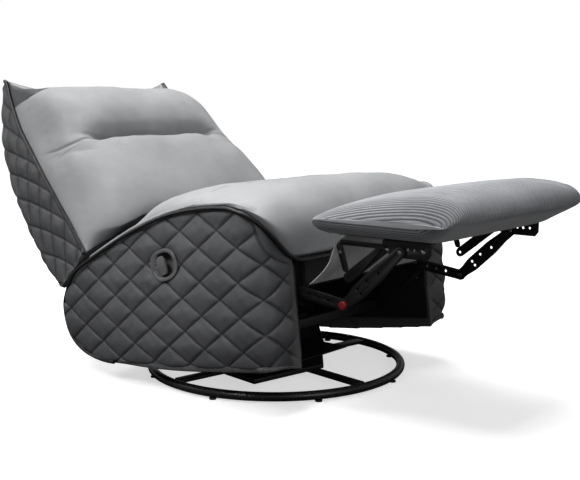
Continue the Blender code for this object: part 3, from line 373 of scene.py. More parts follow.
def addNode(tree, kind, settings=None, inputs=None):
    # inputs: a value is set, a socket is linked
    node = tree.nodes.new(kind)
    for key, value in (settings or {}).items():
        setattr(node, key, value)
    for key, value in (inputs or {}).items():
        socket = node.inputs[key]
        if isinstance(value, bpy.types.NodeSocket):
            tree.links.new(value, socket)
        else:
            socket.default_value = value
    return node


def newMaterial(name, look):
    # Principled shader with its steady values set on its own sockets
    material = bpy.data.materials.new(name)
    material.use_nodes = True
    tree = material.node_tree
    for key, value in look.items():
        tree.nodes["Principled BSDF"].inputs[key].default_value = value
    return material, tree, addNode(tree, "ShaderNodeTexCoord").outputs["Object"]


def wired(material, tone, rough=None, height=None, strength=0.5, distance=0.0003):
    # links colour, roughness and relief to the shader
    tree = material.node_tree
    sockets = tree.nodes["Principled BSDF"].inputs
    tree.links.new(tone, sockets["Base Color"])
    if rough is not None:
        tree.links.new(rough, sockets["Roughness"])
    if height is not None:
        bump = addNode(tree, "ShaderNodeBump", None, {"Height": height, "Strength": strength, "Distance": distance})
        tree.links.new(bump.outputs[0], sockets["Normal"])
    return material


def maths(tree, operation, *values):
    return addNode(tree, "ShaderNodeMath", {"operation": operation}, dict(enumerate(values))).outputs[0]


def mixed(tree, factor, under, over, blend="MIX"):
    return addNode(tree, "ShaderNodeMix", {"data_type": "RGBA", "blend_type": blend},
                   {"Factor": factor, "A": under, "B": over}).outputs["Result"]


def spread(tree, place, size, detail=2.0, stretch=(1, 1, 1)):
    # noise with bumps of about this size in metres, in object space
    mapped = addNode(tree, "ShaderNodeMapping", None, {"Vector": place, "Scale": stretch}).outputs[0]
    return addNode(tree, "ShaderNodeTexNoise", None,
                   {"Vector": mapped, "Scale": 1 / size, "Detail": detail, "Roughness": 0.55}).outputs["Fac"]


def ramp(tree, factor, low, high, dark, light):
    node = addNode(tree, "ShaderNodeValToRGB", None, {"Fac": factor})
    for element, position, text in zip(node.color_ramp.elements, (low, high), (dark, light)):
        element.position, element.color = position, colour(text)
    return node.outputs["Color"]


def patchy(tree, factor, low, high, look):
    return ramp(tree, factor, low, high, look["dark"], look["light"])


def greyBand(tree, factor, low, high, start=0.0, end=1.0):
    return addNode(tree, "ShaderNodeMapRange", None, {"Value": factor, "From Min": low, "From Max": high,
                                                      "To Min": start, "To Max": end}).outputs[0]


def marked(tree, name):
    # a value that is written on the points of a cover
    return addNode(tree, "ShaderNodeAttribute", {"attribute_name": name}).outputs["Fac"]


def threadAndGrooveShade(tree, tone, look):
    # points marked 'seam' take this colour: painted shade in the grooves, and the thread's colour where a sewn line
    # runs
    if "seamColour" not in look:
        return tone
    return mixed(tree, marked(tree, "seam"), tone, colour(look["seamColour"]))


def leatherette(name, look):
    # embossed polyurethane leatherette: pebbled grain, a dull sheen, and rubbed, slightly lighter patches
    material, tree, place = newMaterial(name, {"IOR": 1.48, "Specular IOR Level": look["gloss"],
                                               "Coat Weight": look["coat"], "Coat Roughness": 0.35})
    tone = patchy(tree, spread(tree, place, 0.16, 3.0), 0.32, 0.68, look)
    fine = spread(tree, place, 0.012, 4.0)
    # grain 1.1 mm on the real cover, drawn at look["grain"] so that it shows
    cells = addNode(tree, "ShaderNodeTexVoronoi", {"feature": "DISTANCE_TO_EDGE"},
                    {"Vector": place, "Scale": 1 / look["grain"]}).outputs["Distance"]
    creases = greyBand(tree, cells, 0.0, 0.16)
    # the grain's creases are darkened: painted shade in the creases
    tone = mixed(tree, look["grainTone"], tone, ramp(tree, creases, 0.0, 1.0, "#b4b4b4", "#ffffff"), "MULTIPLY")
    if "earColour" in look:
        tone = mixed(tree, greyBand(tree, marked(tree, "ear"), 0.498, 0.502), tone, colour(look["earColour"]))
    rough = greyBand(tree, fine, 0.3, 0.7, look["rough"] - 0.06, look["rough"] + 0.06)
    relief = maths(tree, "MULTIPLY_ADD", fine, 0.6, creases)
    return wired(material, threadAndGrooveShade(tree, tone, look), rough, relief, look["relief"], 0.0006)


def wovenCloth(name, look):
    # plain weave polyester: crossing threads give a fine two-way ripple and no gloss
    material, tree, place = newMaterial(name, {"Specular IOR Level": 0.25, "Sheen Weight": look["sheen"],
                                               "Sheen Roughness": 0.5, "Roughness": look["rough"]})
    tone = patchy(tree, spread(tree, place, 0.09, 3.0), 0.3, 0.7, look)
    split = addNode(tree, "ShaderNodeSeparateXYZ", None, {0: place})
    # thread spacing 0.6 mm on the real cloth, drawn at look["thread"] so that it shows
    waves = [maths(tree, "SINE", maths(tree, "MULTIPLY", split.outputs[axis], 2 * math.pi / look["thread"]))
             for axis in look["axes"]]
    lit = greyBand(tree, maths(tree, "MULTIPLY", *waves), -1.0, 1.0)
    # the ripple is also painted on the colour: painted light on the threads and painted shade between them
    tone = mixed(tree, look["weaveTone"], tone, ramp(tree, lit, 0.0, 1.0, "#9a9a9a", "#ffffff"), "MULTIPLY")
    return wired(material, threadAndGrooveShade(tree, tone, look), None, lit)


def coatedSteel(name, look):
    # baked enamel on steel: thin orange peel, slight dust, satin gloss
    material, tree, place = newMaterial(name, {"Metallic": look["metal"], "Specular IOR Level": 0.5})
    tone = patchy(tree, spread(tree, place, 0.035, 4.0), 0.35, 0.75, look)
    scuffs = spread(tree, place, 0.006, 5.0)
    rough = greyBand(tree, scuffs, 0.3, 0.7, look["rough"] - 0.08, look["rough"] + 0.1)
    return wired(material, tone, rough, spread(tree, place, 0.0022), 0.25, 0.0002)


def mouldedPlastic(name, look):
    # injection-moulded plastic: nearly even colour, faint flow marks, gloss by the tool's polish
    material, tree, place = newMaterial(name, {"IOR": 1.53, "Specular IOR Level": 0.5})
    flow = spread(tree, place, 0.02)
    rough = greyBand(tree, flow, 0.3, 0.7, look["rough"] - 0.04, look["rough"] + 0.05)
    return wired(material, patchy(tree, flow, 0.3, 0.7, look), rough)


def layeredWood(name, look):
    # birch plywood, stained dark: long grain in streaks
    material, tree, place = newMaterial(name, {"Roughness": 0.7, "Specular IOR Level": 0.3})
    return wired(material, patchy(tree, spread(tree, place, 0.02, 6.0, (0.15, 4.0, 4.0)), 0.3, 0.7, look))


greyLeatherette = leatherette("greyLeatherette", {
    "dark": "#96989a", "light": "#a4a5a7", "grain": 0.0026, "grainTone": 0.22, "gloss": 0.38, "coat": 0.04,
    "rough": 0.5, "relief": 0.45, "earColour": "#3f4043"})
# its seam colour is painted shade in the quilting grooves together with the thread's colour
charcoalLeatherette = leatherette("charcoalLeatherette", {
    "dark": "#4c4d4f", "light": "#5a5b5d", "grain": 0.0026, "grainTone": 0.3, "gloss": 0.42, "coat": 0.05,
    "rough": 0.46, "relief": 0.45, "seamColour": "#242427"})
pipingLeatherette = leatherette("blackPipingLeatherette", {
    "dark": "#09090a", "light": "#0f0f10", "grain": 0.0022, "grainTone": 0.2, "gloss": 0.45, "coat": 0.05,
    "rough": 0.42, "relief": 0.3})
# its seam colour is painted shade in the grooves between the ribs
ribbedCloth = wovenCloth("ribbedPolyesterMesh", {
    "dark": "#989a9e", "light": "#a8aaae", "thread": 0.0018, "axes": ("Y", "Z"), "rough": 0.8, "sheen": 0.25,
    "weaveTone": 0.35, "seamColour": "#4c4d51"})
# colour set lighter to stand in for the light that the footrest keeps off the curtain: painted light
curtainCloth = wovenCloth("greyPolyesterCurtain", {
    "dark": "#d6d7d8", "light": "#e2e3e3", "thread": 0.0026, "axes": ("X", "Z"), "rough": 0.9, "sheen": 0.15,
    "weaveTone": 0.3})
liningCloth = wovenCloth("blackSpunLining", {
    "dark": "#0c0c0d", "light": "#131314", "thread": 0.003, "axes": ("Y", "Z"), "rough": 0.92, "sheen": 0.1,
    "weaveTone": 0.4})
blackSteel = coatedSteel("blackEnamelledSteel", {
    "dark": "#0a0a0b", "light": "#151516", "rough": 0.46, "metal": 0.0})
baseSteel = coatedSteel("glossBlackEnamelledBase", {
    "dark": "#1a1a1b", "light": "#262628", "rough": 0.3, "metal": 0.0})
brightSteel = coatedSteel("zincPlatedSteel", {"dark": "#8e8e8c", "light": "#b4b4b1", "rough": 0.32, "metal": 1.0})
springSteel = coatedSteel("oiledSpringSteel", {"dark": "#4c4c4e", "light": "#6b6b6c", "rough": 0.34, "metal": 1.0})
glidePlastic = mouldedPlastic("blackNylonGlide", {"dark": "#121213", "light": "#1a1a1b", "rough": 0.5})
redPlastic = mouldedPlastic("redNylonBushing", {"dark": "#7c1518", "light": "#94191c", "rough": 0.38})
latchPlastic = mouldedPlastic("charcoalAbsLatch", {"dark": "#545456", "light": "#606062", "rough": 0.36})
threadYarn = mouldedPlastic("darkPolyesterThread", {"dark": "#1b1b1d", "light": "#262628", "rough": 0.7})
stainedPlywood = layeredWood("stainedPlywood", {"dark": "#1b1611", "light": "#2c241c"})
print("materials made")


# details that repeat along a line

threads = {
    "quilting": {"pitch": 0.0046, "size": (0.0012, 0.0012, 0.0046 * 0.72), "sink": 0.0001,
                 "slot": "quilted_charcoal"},
    "seam": {"pitch": 0.0042, "size": (0.001, 0.001, 0.003), "sink": 0.0, "slot": "grey_leatherette"},
}


def repeatTree(shape, material):
    # geometry nodes: one small solid repeated along every line of the input mesh
    tree = bpy.data.node_groups.new("repeat" + shape, "GeometryNodeTree")
    for name, way, kind in (("Geometry", "INPUT", "Geometry"), ("Pitch", "INPUT", "Float"),
                            ("Size", "INPUT", "Vector"), ("Geometry", "OUTPUT", "Geometry")):
        tree.interface.new_socket(name, in_out=way, socket_type="NodeSocket" + kind)

    def linked(kind, inputs, settings=None):
        return addNode(tree, "GeometryNode" + kind, settings, inputs).outputs

    given = addNode(tree, "NodeGroupInput").outputs
    line = linked("MeshToCurve", {"Mesh": given["Geometry"]})["Curve"]
    places = linked("CurveToPoints", {"Curve": line, "Length": given["Pitch"]}, {"mode": "LENGTH"})
    if shape == "Bead":
        item = linked("MeshUVSphere", {"Segments": 8, "Rings": 5, "Radius": 0.5})[0]
    else:
        item = linked("MeshCube", {"Size": (1.0, 1.0, 1.0)})[0]
    sized = linked("Transform", {"Geometry": item, "Scale": given["Size"]})[0]
    spots = linked("InstanceOnPoints", {"Points": places["Points"], "Instance": sized,
                                        "Rotation": places["Rotation"]})[0]
    real = linked("RealizeInstances", {"Geometry": spots})[0]
    coloured = linked("SetMaterial", {"Geometry": real, "Material": material})[0]
    addNode(tree, "NodeGroupOutput", None, {"Geometry": coloured})
    return tree


def repeatAlong(name, runs, shape, pitch, size, material, body):
    # runs: lines in the row frame; size: across, across, along
    points, edges = [], []
    for run in runs:
        start = len(points)
        points += [tuple(p) for p in run]
        edges += [(start + k, start + k + 1) for k in range(len(run) - 1)]
    mesh = bpy.data.meshes.new(name + "Lines")
    mesh.from_pydata(points, edges, [])
    obj = addObject(name + "Lines", mesh)
    modifier = modify(obj, "NODES", {"node_group": repeatTree(shape, material)})
    for item in modifier.node_group.interface.items_tree:
        if item.name in ("Pitch", "Size"):
            modifier[item.identifier] = pitch if item.name == "Pitch" else size
    mesh = baked(obj)
    if shape == "Bead":
        mesh.shade_smooth()
    return addPiece(name, mesh, material, body, ())


def withAim(place, way):
    # places and directions of the chair frame, both in the row frame
    return toRow(place), toRow(place + np.array(way)) - toRow(place)


def laidOn(obj, pairs, reach=0.02, sink=0.0):
    # the parts of lines that lie over obj, cast on to it against their directions
    tree = BVHTree.FromPolygons([v.co[:] for v in obj.data.vertices], [f.vertices[:] for f in obj.data.polygons])
    runs = []
    for line, aims in pairs:
        run = []
        for place, aim in zip(line, aims):
            aim = Vector(aim).normalized()
            spot, normal, face, away = tree.ray_cast(Vector(place) + aim * reach, -aim, 2 * reach)
            if spot is None or normal.dot(aim) < 0.2:
                if len(run) > 2:
                    runs.append(run)
                run = []
            else:
                run.append(spot - aim * sink)
        if len(run) > 2:
            runs.append(run)
    return runs


def sewAlong(name, obj, pairs, kind, body, reach=0.02):
    thread = threads[kind]
    runs = laidOn(obj, pairs, reach, thread["sink"])
    repeatAlong(name, runs, "Bead", thread["pitch"], thread["size"], threadYarn, body)


def latticeLines(lattice, lines, reach, count):
    # the sewn lines of a quilted face, in its plane
    origin, rise, fall = (np.array(lattice[key]) for key in ("origin", "rise", "fall"))
    step = np.linspace(-reach, reach, count)[:, None]
    return [origin + k * one + step * other for one, other in ((rise, fall), (fall, rise))
            for k in range(-lines, lines + 1)]


def jumps(place):
    return np.nonzero(np.linalg.norm(np.diff(place, axis=0), axis=1) > 0.004)[0] + 1


# the panels' and the seat's shared seam

panelTop = [(0.0, 0.90), (0.048, 0.971), (0.086, 0.990), (0.163, 1.0), (0.238, 1.0), (0.311, 0.993),
            (0.397, 0.971), (0.471, 0.939), (0.578, 0.883), (0.653, 0.835), (0.721, 0.787),
            (0.800, 0.729), (0.860, 0.686), (0.919, 0.630), (0.972, 0.537), (0.996, 0.452)]
panelLow = [(0.996, 0.452), (1.006, 0.386), (1.0, 0.272), (0.974, 0.174), (0.915, 0.089), (0.815, 0.034),
            (0.706, 0.021), (0.574, 0.005), (0.397, 0.0), (0.176, 0.011), (0.0, 0.024)]


def sideHeight(y):
    share = (np.asarray(y) - panelFront) / panelLength
    sharp = np.interp(share, *np.array(panelTop).T)
    soft = softRead(panelTop, share, 0.03)
    inner = smooth((share - 0.02) / 0.04) * smooth((0.97 - share) / 0.04)
    return panelBottom + panelHeight * lerp(sharp, soft, inner)


def lipHeight(x):
    share = np.clip((np.minimum(np.abs(x), half) - panelInner) / chair["panelThickness"], 0, 1)
    return lerp(chair["lipHeight"], chair["lipSideHeight"], share ** 1.25)


def frontPlace(x):
    over = np.clip(np.abs(x) - (half - cornerRadius), 0, cornerRadius)
    return panelFront + cornerRadius - np.sqrt(cornerRadius ** 2 - over ** 2)


def seamHeight(x, y):
    ramp = lipHeight(x) + 2.2 * (y - frontPlace(x))
    side = sideHeight(y)
    # the two slopes meet in a soft bend
    apart = np.clip(0.5 + (ramp - side) / 0.02, 0, 1)
    return lerp(ramp, side, apart) - 0.005 * apart * (1 - apart)


# side panels

quilt = {
    "origin": (-0.0820, 0.2603),       # one crossing of the stitch lines, in the panel's plane
    "rise": (-0.0605, 0.0366),         # from crossing to crossing
    "fall": (-0.0562, -0.0400),
    "grooveWidth": 0.0024, "grooveDepth": 0.0030, "puff": 0.0058, "puffReach": 0.0145, "inset": 0.0030,
}
sidePanel = {
    "steps": 90, "voxel": 0.0027, "edgeRound": 0.018, "edgeDraw": 0.65, "innerDrop": 0.012,
    "bandWidth": 0.0026, "bandDepth": 0.0030, "bandPuff": 0.0012, "swell": 0.0055, "tuck": 0.013,
    "tuckReach": 0.075, "uneven": (0.0009, 0.0005), "latchDip": 0.0045,
}
latch = {"y": -0.033, "z": 0.338, "turn": math.radians(14.0), "width": 0.088, "height": 0.074, "proud": 0.005,
         "rim": 0.009, "depth": 0.026, "wall": 0.0022, "power": 0.8}
# seam below the plain band at the front of each panel: (|x|, y, z)
bandSeam = [(0.385, -0.283, 0.460), (0.374, -0.301, 0.439), (0.371, -0.304, 0.420), (0.3675, -0.307, 0.3955),
            (0.362, -0.311, 0.375), (0.352, -0.316, 0.355), (0.3315, -0.32, 0.339), (0.306, -0.32, 0.3295),
            (0.260, -0.32, 0.319)]


def quiltHeight(along, up, lattice):
    # height of the padding between stitch lines, from in-plane places in metres
    rise, fall = np.array(lattice["rise"]), np.array(lattice["fall"])
    area = abs(rise[0] * fall[1] - rise[1] * fall[0])
    rel = np.stack([along - lattice["origin"][0], up - lattice["origin"][1]], -1)
    share = rel @ np.linalg.inv(np.array([rise, fall]))
    apart = np.abs(share - np.round(share))
    toFall = apart[..., 0] * area / np.linalg.norm(fall)
    toRise = apart[..., 1] * area / np.linalg.norm(rise)
    lift = 1.0
    for away in (toFall, toRise):
        lift = lift * (1 - np.exp(-(away / quilt["puffReach"]) ** 1.3))
    seam = np.exp(-(np.minimum(toFall, toRise) / quilt["grooveWidth"]) ** 2)
    return quilt["puff"] * lift - quilt["grooveDepth"] * seam, seam


def unroll(x, y):
    # distance along the outer face and round the front corner, measured as y on the straight part
    start = panelFront + cornerRadius
    past = np.clip(half - cornerRadius - np.abs(x), 0, None)
    turn = np.arctan2(np.maximum(start - y, 0), np.maximum(np.abs(x) - (half - cornerRadius), 1e-6))
    return np.where(y > start, y, start - cornerRadius * turn - past)


def bandLine():
    return [(float(unroll(np.array(x), np.array(y))), z) for x, y, z in bandSeam]


def toLine(along, up, line):
    # distance to a polyline, and the side of it (positive below)
    best, side = np.full(len(along), 1e9), np.zeros(len(along))
    for (a0, u0), (a1, u1) in zip(line, line[1:]):
        da, du = a1 - a0, u1 - u0
        t = np.clip(((along - a0) * da + (up - u0) * du) / (da * da + du * du), 0, 1)
        ga, gu = along - a0 - t * da, up - u0 - t * du
        away = np.hypot(ga, gu)
        near = away < best
        side = np.where(near, np.sign(gu * da - ga * du), side)
        best = np.where(near, away, best)
    return best, side


def latchPlace(along, up):
    # y and z of a place in the latch's own turned plane
    c, s = math.cos(latch["turn"]), math.sin(latch["turn"])
    return latch["y"] + along * c + up * s, latch["z"] - along * s + up * c


def latchRing(inset, count=56):
    a = np.arange(count) * 2 * math.pi / count
    c, s = np.cos(a), np.sin(a)
    return latchPlace((latch["width"] / 2 - inset) * np.abs(c) ** latch["power"] * np.sign(c),
                      (latch["height"] / 2 - inset) * np.abs(s) ** latch["power"] * np.sign(s))


def panelRings():
    bend, straight = sidePanel["edgeRound"], half - cornerRadius
    stations = [lerp(panelInner, straight, share) for share in (0.0, 0.3, 0.65)]
    stations += list(straight + cornerRadius * np.sin(np.radians(np.linspace(0, 90, 26))))
    steps = np.linspace(0, 1, sidePanel["steps"])
    low = smoothRun(panelLow, steps * (len(panelLow) - 1))
    rings = []
    for x in stations:
        edge = min(max(0.0, x - (half - bend)), bend)
        inset = sidePanel["edgeDraw"] * (bend - math.sqrt(bend ** 2 - edge ** 2))
        front = float(frontPlace(x))
        drop = sidePanel["innerDrop"] * max(0.0, 1 - (x - panelInner) / (straight - panelInner))
        y = panelFront + low[:, 0] * panelLength
        z = panelBottom + low[:, 1] * panelHeight - drop * (1 - low[:, 1]) ** 6
        under = joined(x, np.maximum(front, y - inset * low[:, 0]), z + inset * (1 - low[:, 1] / 2))
        y = lerp(front, panelFront + panelLength * 0.996, steps[:-1] ** 1.2)
        over = joined(x, y - inset * smooth(steps[:-1] * 3 - 2), seamHeight(x, y) - gap - inset / 3)
        rings.append(np.concatenate([under, over]))
    return np.array(rings)


def addPanel(side, name):
    rings = panelRings()
    rings[:, :, 0] *= side
    obj = addObject("panelForm", ringMesh("panelForm", rings))
    if side < 0:
        y, z = latchRing(latch["rim"] - latch["wall"] - 2 * gap)
        depth = np.array([-half - 0.02, -half + latch["depth"] + 0.003])[:, None]
        cutter = addObject("latchPocket", ringMesh("latchPocket", joined(depth, y, z)))
        carve(obj, cutter)
    modify(obj, "REMESH", {"mode": "VOXEL", "voxel_size": sidePanel["voxel"]})
    modify(obj, "SMOOTH", {"factor": 0.5, "iterations": 6})
    mesh = baked(obj)
    if side < 0:
        bpy.data.objects.remove(cutter, do_unlink=True)
    points, normals = coordinates(mesh), coordinates(mesh, "normal")
    x, y, z = np.abs(points[:, 0]), points[:, 1], points[:, 2]
    along = unroll(x, y)
    outward = smooth((side * normals[:, 0] - np.minimum(normals[:, 1], 0) * 1.2) / 0.8)
    outward *= smooth((x - panelInner) / 0.03)
    away, below = toLine(along, z, bandLine())
    onBand = smooth(0.5 - below * away / 0.006) * smooth((panelFront + 0.09 - along) / 0.02)
    quilted = outward * (1 - onBand) * smooth((seamHeight(x, y) - z) / 0.022)
    padding, seam = quiltHeight(along, z, quilt)
    height = padding * quilted - quilt["inset"] * outward
    band = np.exp(-(away / sidePanel["bandWidth"]) ** 2) * smooth((panelFront + 0.07 - along) / 0.01)
    height -= sidePanel["bandDepth"] * band * outward
    # the side swells at half height and is drawn in under its lower edge, up to the piping at the rear
    lowRun = np.array(panelLow[::-1])
    share = np.clip((y - panelFront) / panelLength, 0, 1.005)
    lowEdge = panelBottom + panelHeight * np.interp(share, lowRun[:, 0], lowRun[:, 1])
    slope = np.gradient(lowRun[:, 1], lowRun[:, 0]) * panelHeight / panelLength
    fromEdge = (z - lowEdge) / np.sqrt(1 + np.interp(share, lowRun[:, 0], slope) ** 2)
    rise = np.clip((z - lowEdge) / np.maximum(seamHeight(x, y) - lowEdge, 0.05), 0, 1)
    tuck = sidePanel["tuck"] * (1 - np.clip(fromEdge / sidePanel["tuckReach"], 0, 1)) ** 2
    tuck = tuck * smooth((0.74 - share) / 0.16)
    height += (sidePanel["swell"] * np.sin(math.pi * rise) - tuck) * outward
    height += sidePanel["bandPuff"] * onBand * outward
    height += sidePanel["uneven"][0] * wander(points, 0.11, 2) * outward
    height += sidePanel["uneven"][1] * wander(points, 0.03, 5) * quilted
    if side < 0:
        # the cover dips where the latch is screwed down over it
        c, s = math.cos(latch["turn"]), math.sin(latch["turn"])
        p = (y - latch["y"]) * c - (z - latch["z"]) * s
        q = (y - latch["y"]) * s + (z - latch["z"]) * c
        reach = np.hypot(p / latch["width"], q / latch["height"]) * 2
        height -= sidePanel["latchDip"] * np.exp(-(np.maximum(reach - 0.9, 0) / 0.4) ** 2) * outward
        height = np.where(x < half - 0.008, height * outward, height)
    # marks the quilting grooves and the band's groove for painted shade, mixed with the thread's colour
    writeOn(mesh, "seam", np.maximum(seam * quilted, band * outward) * 0.9)
    setCoordinates(mesh, toRow(points + normals * height[:, None]))
    mesh.shade_smooth()
    return addPiece("quiltedPanel" + name, mesh, charcoalLeatherette, "chair",
                    ["side_panel_" + name.lower()])


def onPanel(side, along, z):
    # place and outward direction on the panel's outer face, from its unrolled plane
    start = panelFront + cornerRadius
    turn = np.clip((start - along) / cornerRadius, 0, math.pi / 2)
    past = np.maximum(start - cornerRadius * math.pi / 2 - along, 0)
    x = half - cornerRadius + cornerRadius * np.cos(turn) - past
    y = np.where(along > start, along, start - cornerRadius * np.sin(turn))
    return joined(side * x, y, z), joined(side * np.cos(turn), -np.sin(turn), 0.0)


def panelStitches(obj, side, name):
    pairs = []
    band, lowRun = bandLine(), np.array(panelLow[::-1])
    for flat in latticeLines(quilt, 9, 9, 1300):
        along, up = flat.T
        away, below = toLine(along, up, band)
        place, aim = onPanel(side, along, up)
        low = np.interp(along, panelFront + lowRun[:, 0] * panelLength, panelBottom + lowRun[:, 1] * panelHeight)
        fits = (up < seamHeight(np.abs(place[:, 0]), place[:, 1]) - 0.008) & (up > low + 0.006)
        fits &= (along > panelFront - 0.10) & (along < panelFront + panelLength * 0.985)
        fits &= (below < 0) | (away > 0.25) | (along > panelFront + 0.09)
        if side < 0:
            fits &= np.hypot(along - latch["y"], up - latch["z"]) > latch["width"] * 0.52
        place, aim = place[fits], aim[fits]
        if len(place) > 8:
            cuts = jumps(place)
            pairs += [withAim(part, way) for part, way in zip(np.split(place, cuts), np.split(aim, cuts))]
    sewAlong("panelStitches" + name, obj, pairs, "quilting", "chair")


for side, name in sides:
    panel = addPanel(side, name)
    panelStitches(panel, side, name)
print("side panels made")


# seat cushion

seat = {
    "profile": [(-0.004, 0.017), (-0.029, 0.126), (-0.037, 0.299), (-0.032, 0.510), (-0.006, 0.708),
                (0.050, 0.862), (0.143, 0.966), (0.255, 1.003), (0.404, 1.0), (0.551, 0.983),
                (0.680, 0.931), (0.772, 0.845), (0.818, 0.741), (0.846, 0.644), (0.853, 0.527),
                (0.904, 0.609), (0.959, 0.647), (1.0, 0.646)],
    "endShare": 0.800, "crown": 0.174, "edge": 0.006, "roll": 6,
    "columns": 170, "rows": 130, "underRows": 24,
    "seamPlace": -0.152, "seamBow": 0.010, "seamDepth": 0.0028, "seamWidth": 0.0032,
    "seamLip": 0.0014, "sag": 0.0022, "wrinkle": 0.0007, "gather": 0.0011,
}


def crownSeam(x):
    return seat["seamPlace"] + seat["seamBow"] * np.cos(x * 5)


def seatRings():
    last = len(seat["profile"]) - 1
    x = half * np.sin(np.linspace(-math.pi / 2, math.pi / 2, seat["columns"]))[:, None]
    t = np.linspace(0, last, seat["rows"])[None, :]
    centre = smoothRun(seat["profile"], t)
    yMid = panelFront + centre[..., 0] * panelLength * seat["endShare"]
    zMid = chair["lipHeight"] + centre[..., 1] * seat["crown"]
    edgeStart = panelFront + cornerRadius
    yEdge = lerp(edgeStart, lerp(edgeStart, panelRear, seat["endShare"]), (t / last) ** 1.35)
    zEdge = sideHeight(yEdge)
    share = np.minimum(np.abs(x) / half, 1)
    # the rear bolster falls away towards the sides
    full = np.sqrt(1 - share ** lerp(5, 2, smooth((t - 9) / 5)))
    blend = smooth(t / seat["roll"])
    lipFull = (chair["lipSideHeight"] - lipHeight(x)) / (chair["lipSideHeight"] - chair["lipHeight"])
    planFull = (edgeStart - frontPlace(x)) / (edgeStart - panelFront)
    y = lerp(yEdge, yMid, lerp(planFull, full, blend))
    z = lerp(zEdge, zMid, lerp(lipFull, full, blend))
    lowest = seamHeight(x, np.maximum(y, frontPlace(x))) + seat["edge"]
    z = np.maximum(z, lowest)
    end = lerp(frontPlace(x), panelRear, seat["endShare"])
    # its ends stay low, under the foot of the back
    away = smooth((y + 0.02) / 0.12) * smooth((np.abs(x) - 0.25) / 0.10)
    z = lerp(z, lowest, 0.9 * away)
    y[:, -1:] = end
    z[:, -1:] = seamHeight(x, end) + seat["edge"]
    back = np.linspace(1, 0, seat["underRows"])[None, :]
    yLow = lerp(frontPlace(x), end, back)
    return np.concatenate([joined(x, y, z), joined(x, yLow, seamHeight(x, yLow) + 0.0004)], 1)


def addSeat():
    rings = seatRings()
    mesh = ringMesh("seatCushion", rings)
    points, normals = coordinates(mesh), coordinates(mesh, "normal")
    index = np.arange(len(points)) % rings.shape[1]
    onTop = np.where(index < seat["rows"], smooth(index / 10) * smooth((seat["rows"] - 1 - index) / 10), 0)
    x, y, z = points.T
    inside = half - np.abs(x)
    fade = smooth(inside / 0.03)
    fromSeam = y - crownSeam(x)
    upper = smooth((normals[:, 2] - 0.3) / 0.3)
    height = -seat["seamDepth"] * np.exp(-(fromSeam / seat["seamWidth"]) ** 2) * upper
    height += seat["seamLip"] * np.exp(-(fromSeam / 0.016) ** 2) * upper
    height += seat["sag"] * wander(points, 0.17, 1) * fade
    height += seat["wrinkle"] * wander(points, 0.06, 3) * fade
    # gathers that run in from the piped edge
    edge = np.exp(-np.maximum(inside - 0.004, 0) / 0.016)
    height += seat["gather"] * wander(points * np.array((0.25, 1, 0.25)), 0.028, 4) * edge * fade
    writeOn(mesh, "free", onTop * smooth(inside / 0.07) * (1 - np.exp(-(fromSeam / 0.014) ** 2)))
    setCoordinates(mesh, toRow(points + normals * (height * onTop)[:, None]))
    return addPiece("seatCover", mesh, greyLeatherette, "chair", ["seat_cushion"])


def seatStitches(obj):
    # two rows of thread, one on each side of the crown seam
    x, z = np.linspace(-0.33, 0.33, 240), chair["lipHeight"] + seat["crown"]
    pairs = [withAim(joined(x, crownSeam(x) + shift, z), (0, 0, 1)) for shift in (-0.0042, 0.0042)]
    sewAlong("seatStitches", obj, pairs, "seam", "chair", 0.08)


seatCover = addSeat()
clothFilled(seatCover, 14, 0.007)
seatStitches(seatCover)
print("seat made")


# back

back = {
    "pivot": (0.2116, 0.3282), "lean": math.radians(52.0), "foot": 0.080, "length": 0.592,
    "footWidth": 0.770, "topWidth": 0.584, "edge": 0.003, "depth": 0.190, "middleDepth": 0.120,
    "headRoll": 0.050, "topDip": 0.064, "shellDrop": 0.018, "footDrop": 0.054,
    "cushionDepth": 0.109, "cushionFoot": 0.126,
    "widths": [(0.0, 1.0), (0.12, 0.93), (0.40, 0.72), (0.71, 0.40), (1.0, 0.0)],
    "wings": [(0.0, 0.80), (0.08, 0.88), (0.22, 0.96), (0.38, 0.93), (0.53, 0.85), (0.72, 0.69),
              (0.87, 0.46), (0.96, 0.28), (1.0, 0.15)],
    "pipingLine": [(0.0, 0.0), (0.10, 0.0), (0.25, 0.06), (0.50, 0.30), (0.72, 0.62), (0.88, 0.45), (1.0, 0.06)],
    "setBack": 0.030, "pipingBase": -0.006,
    "profile": [(0.077, 0.055), (0.079, 0.275), (0.062, 0.532), (0.040, 0.725), (0.054, 0.872),
                (0.092, 0.954), (0.151, 0.991), (0.227, 1.000), (0.306, 0.982), (0.395, 0.899),
                (0.454, 0.716), (0.491, 0.459), (0.514, 0.661), (0.555, 0.881), (0.617, 0.954),
                (0.688, 0.950), (0.754, 0.862), (0.806, 0.715), (0.849, 0.520), (0.881, 0.300),
                (0.888, 0.055)],
    "creaseRows": (9, 14), "creaseFade": 0.96, "hang": 0.011, "creaseFill": 0.016,
    "creaseSeam": (0.003, 0.006, 0.14), "fillRow": 10.0, "rearSeam": 0.003,
    "sag": 0.0025, "wrinkle": 0.0009, "pucker": 0.0014, "gather": 0.0010,
    "earUp": 0.105, "earAcross": 0.155, "earDepth": 0.0016, "earSeam": 0.0026,
}
wingQuilt = {"origin": (0.10, 0.02), "rise": (0.043, -0.036), "fall": (0.047, 0.030)}


def creaseLine(across):
    # sewn line of the crease in rows of the profile, bending down towards both edges
    return 11.0 - 1.5 * smooth((np.abs(across) - 0.5) / 0.5)


def wingSag(out):
    # the sewn lines of the wings sag towards the foot
    return 3.0 * (out - 0.07) ** 2


def backPlace(up, out):
    c, s = math.cos(back["lean"]), math.sin(back["lean"])
    return back["pivot"][0] + up * c - out * s, back["pivot"][1] + up * s + out * c


def backHalfWidth(share):
    return lerp(back["topWidth"], back["footWidth"], softRead(back["widths"], share, 0.05)) / 2


def backFront(share):
    return back["pipingBase"] - back["setBack"] * softRead(back["pipingLine"], share, 0.05)


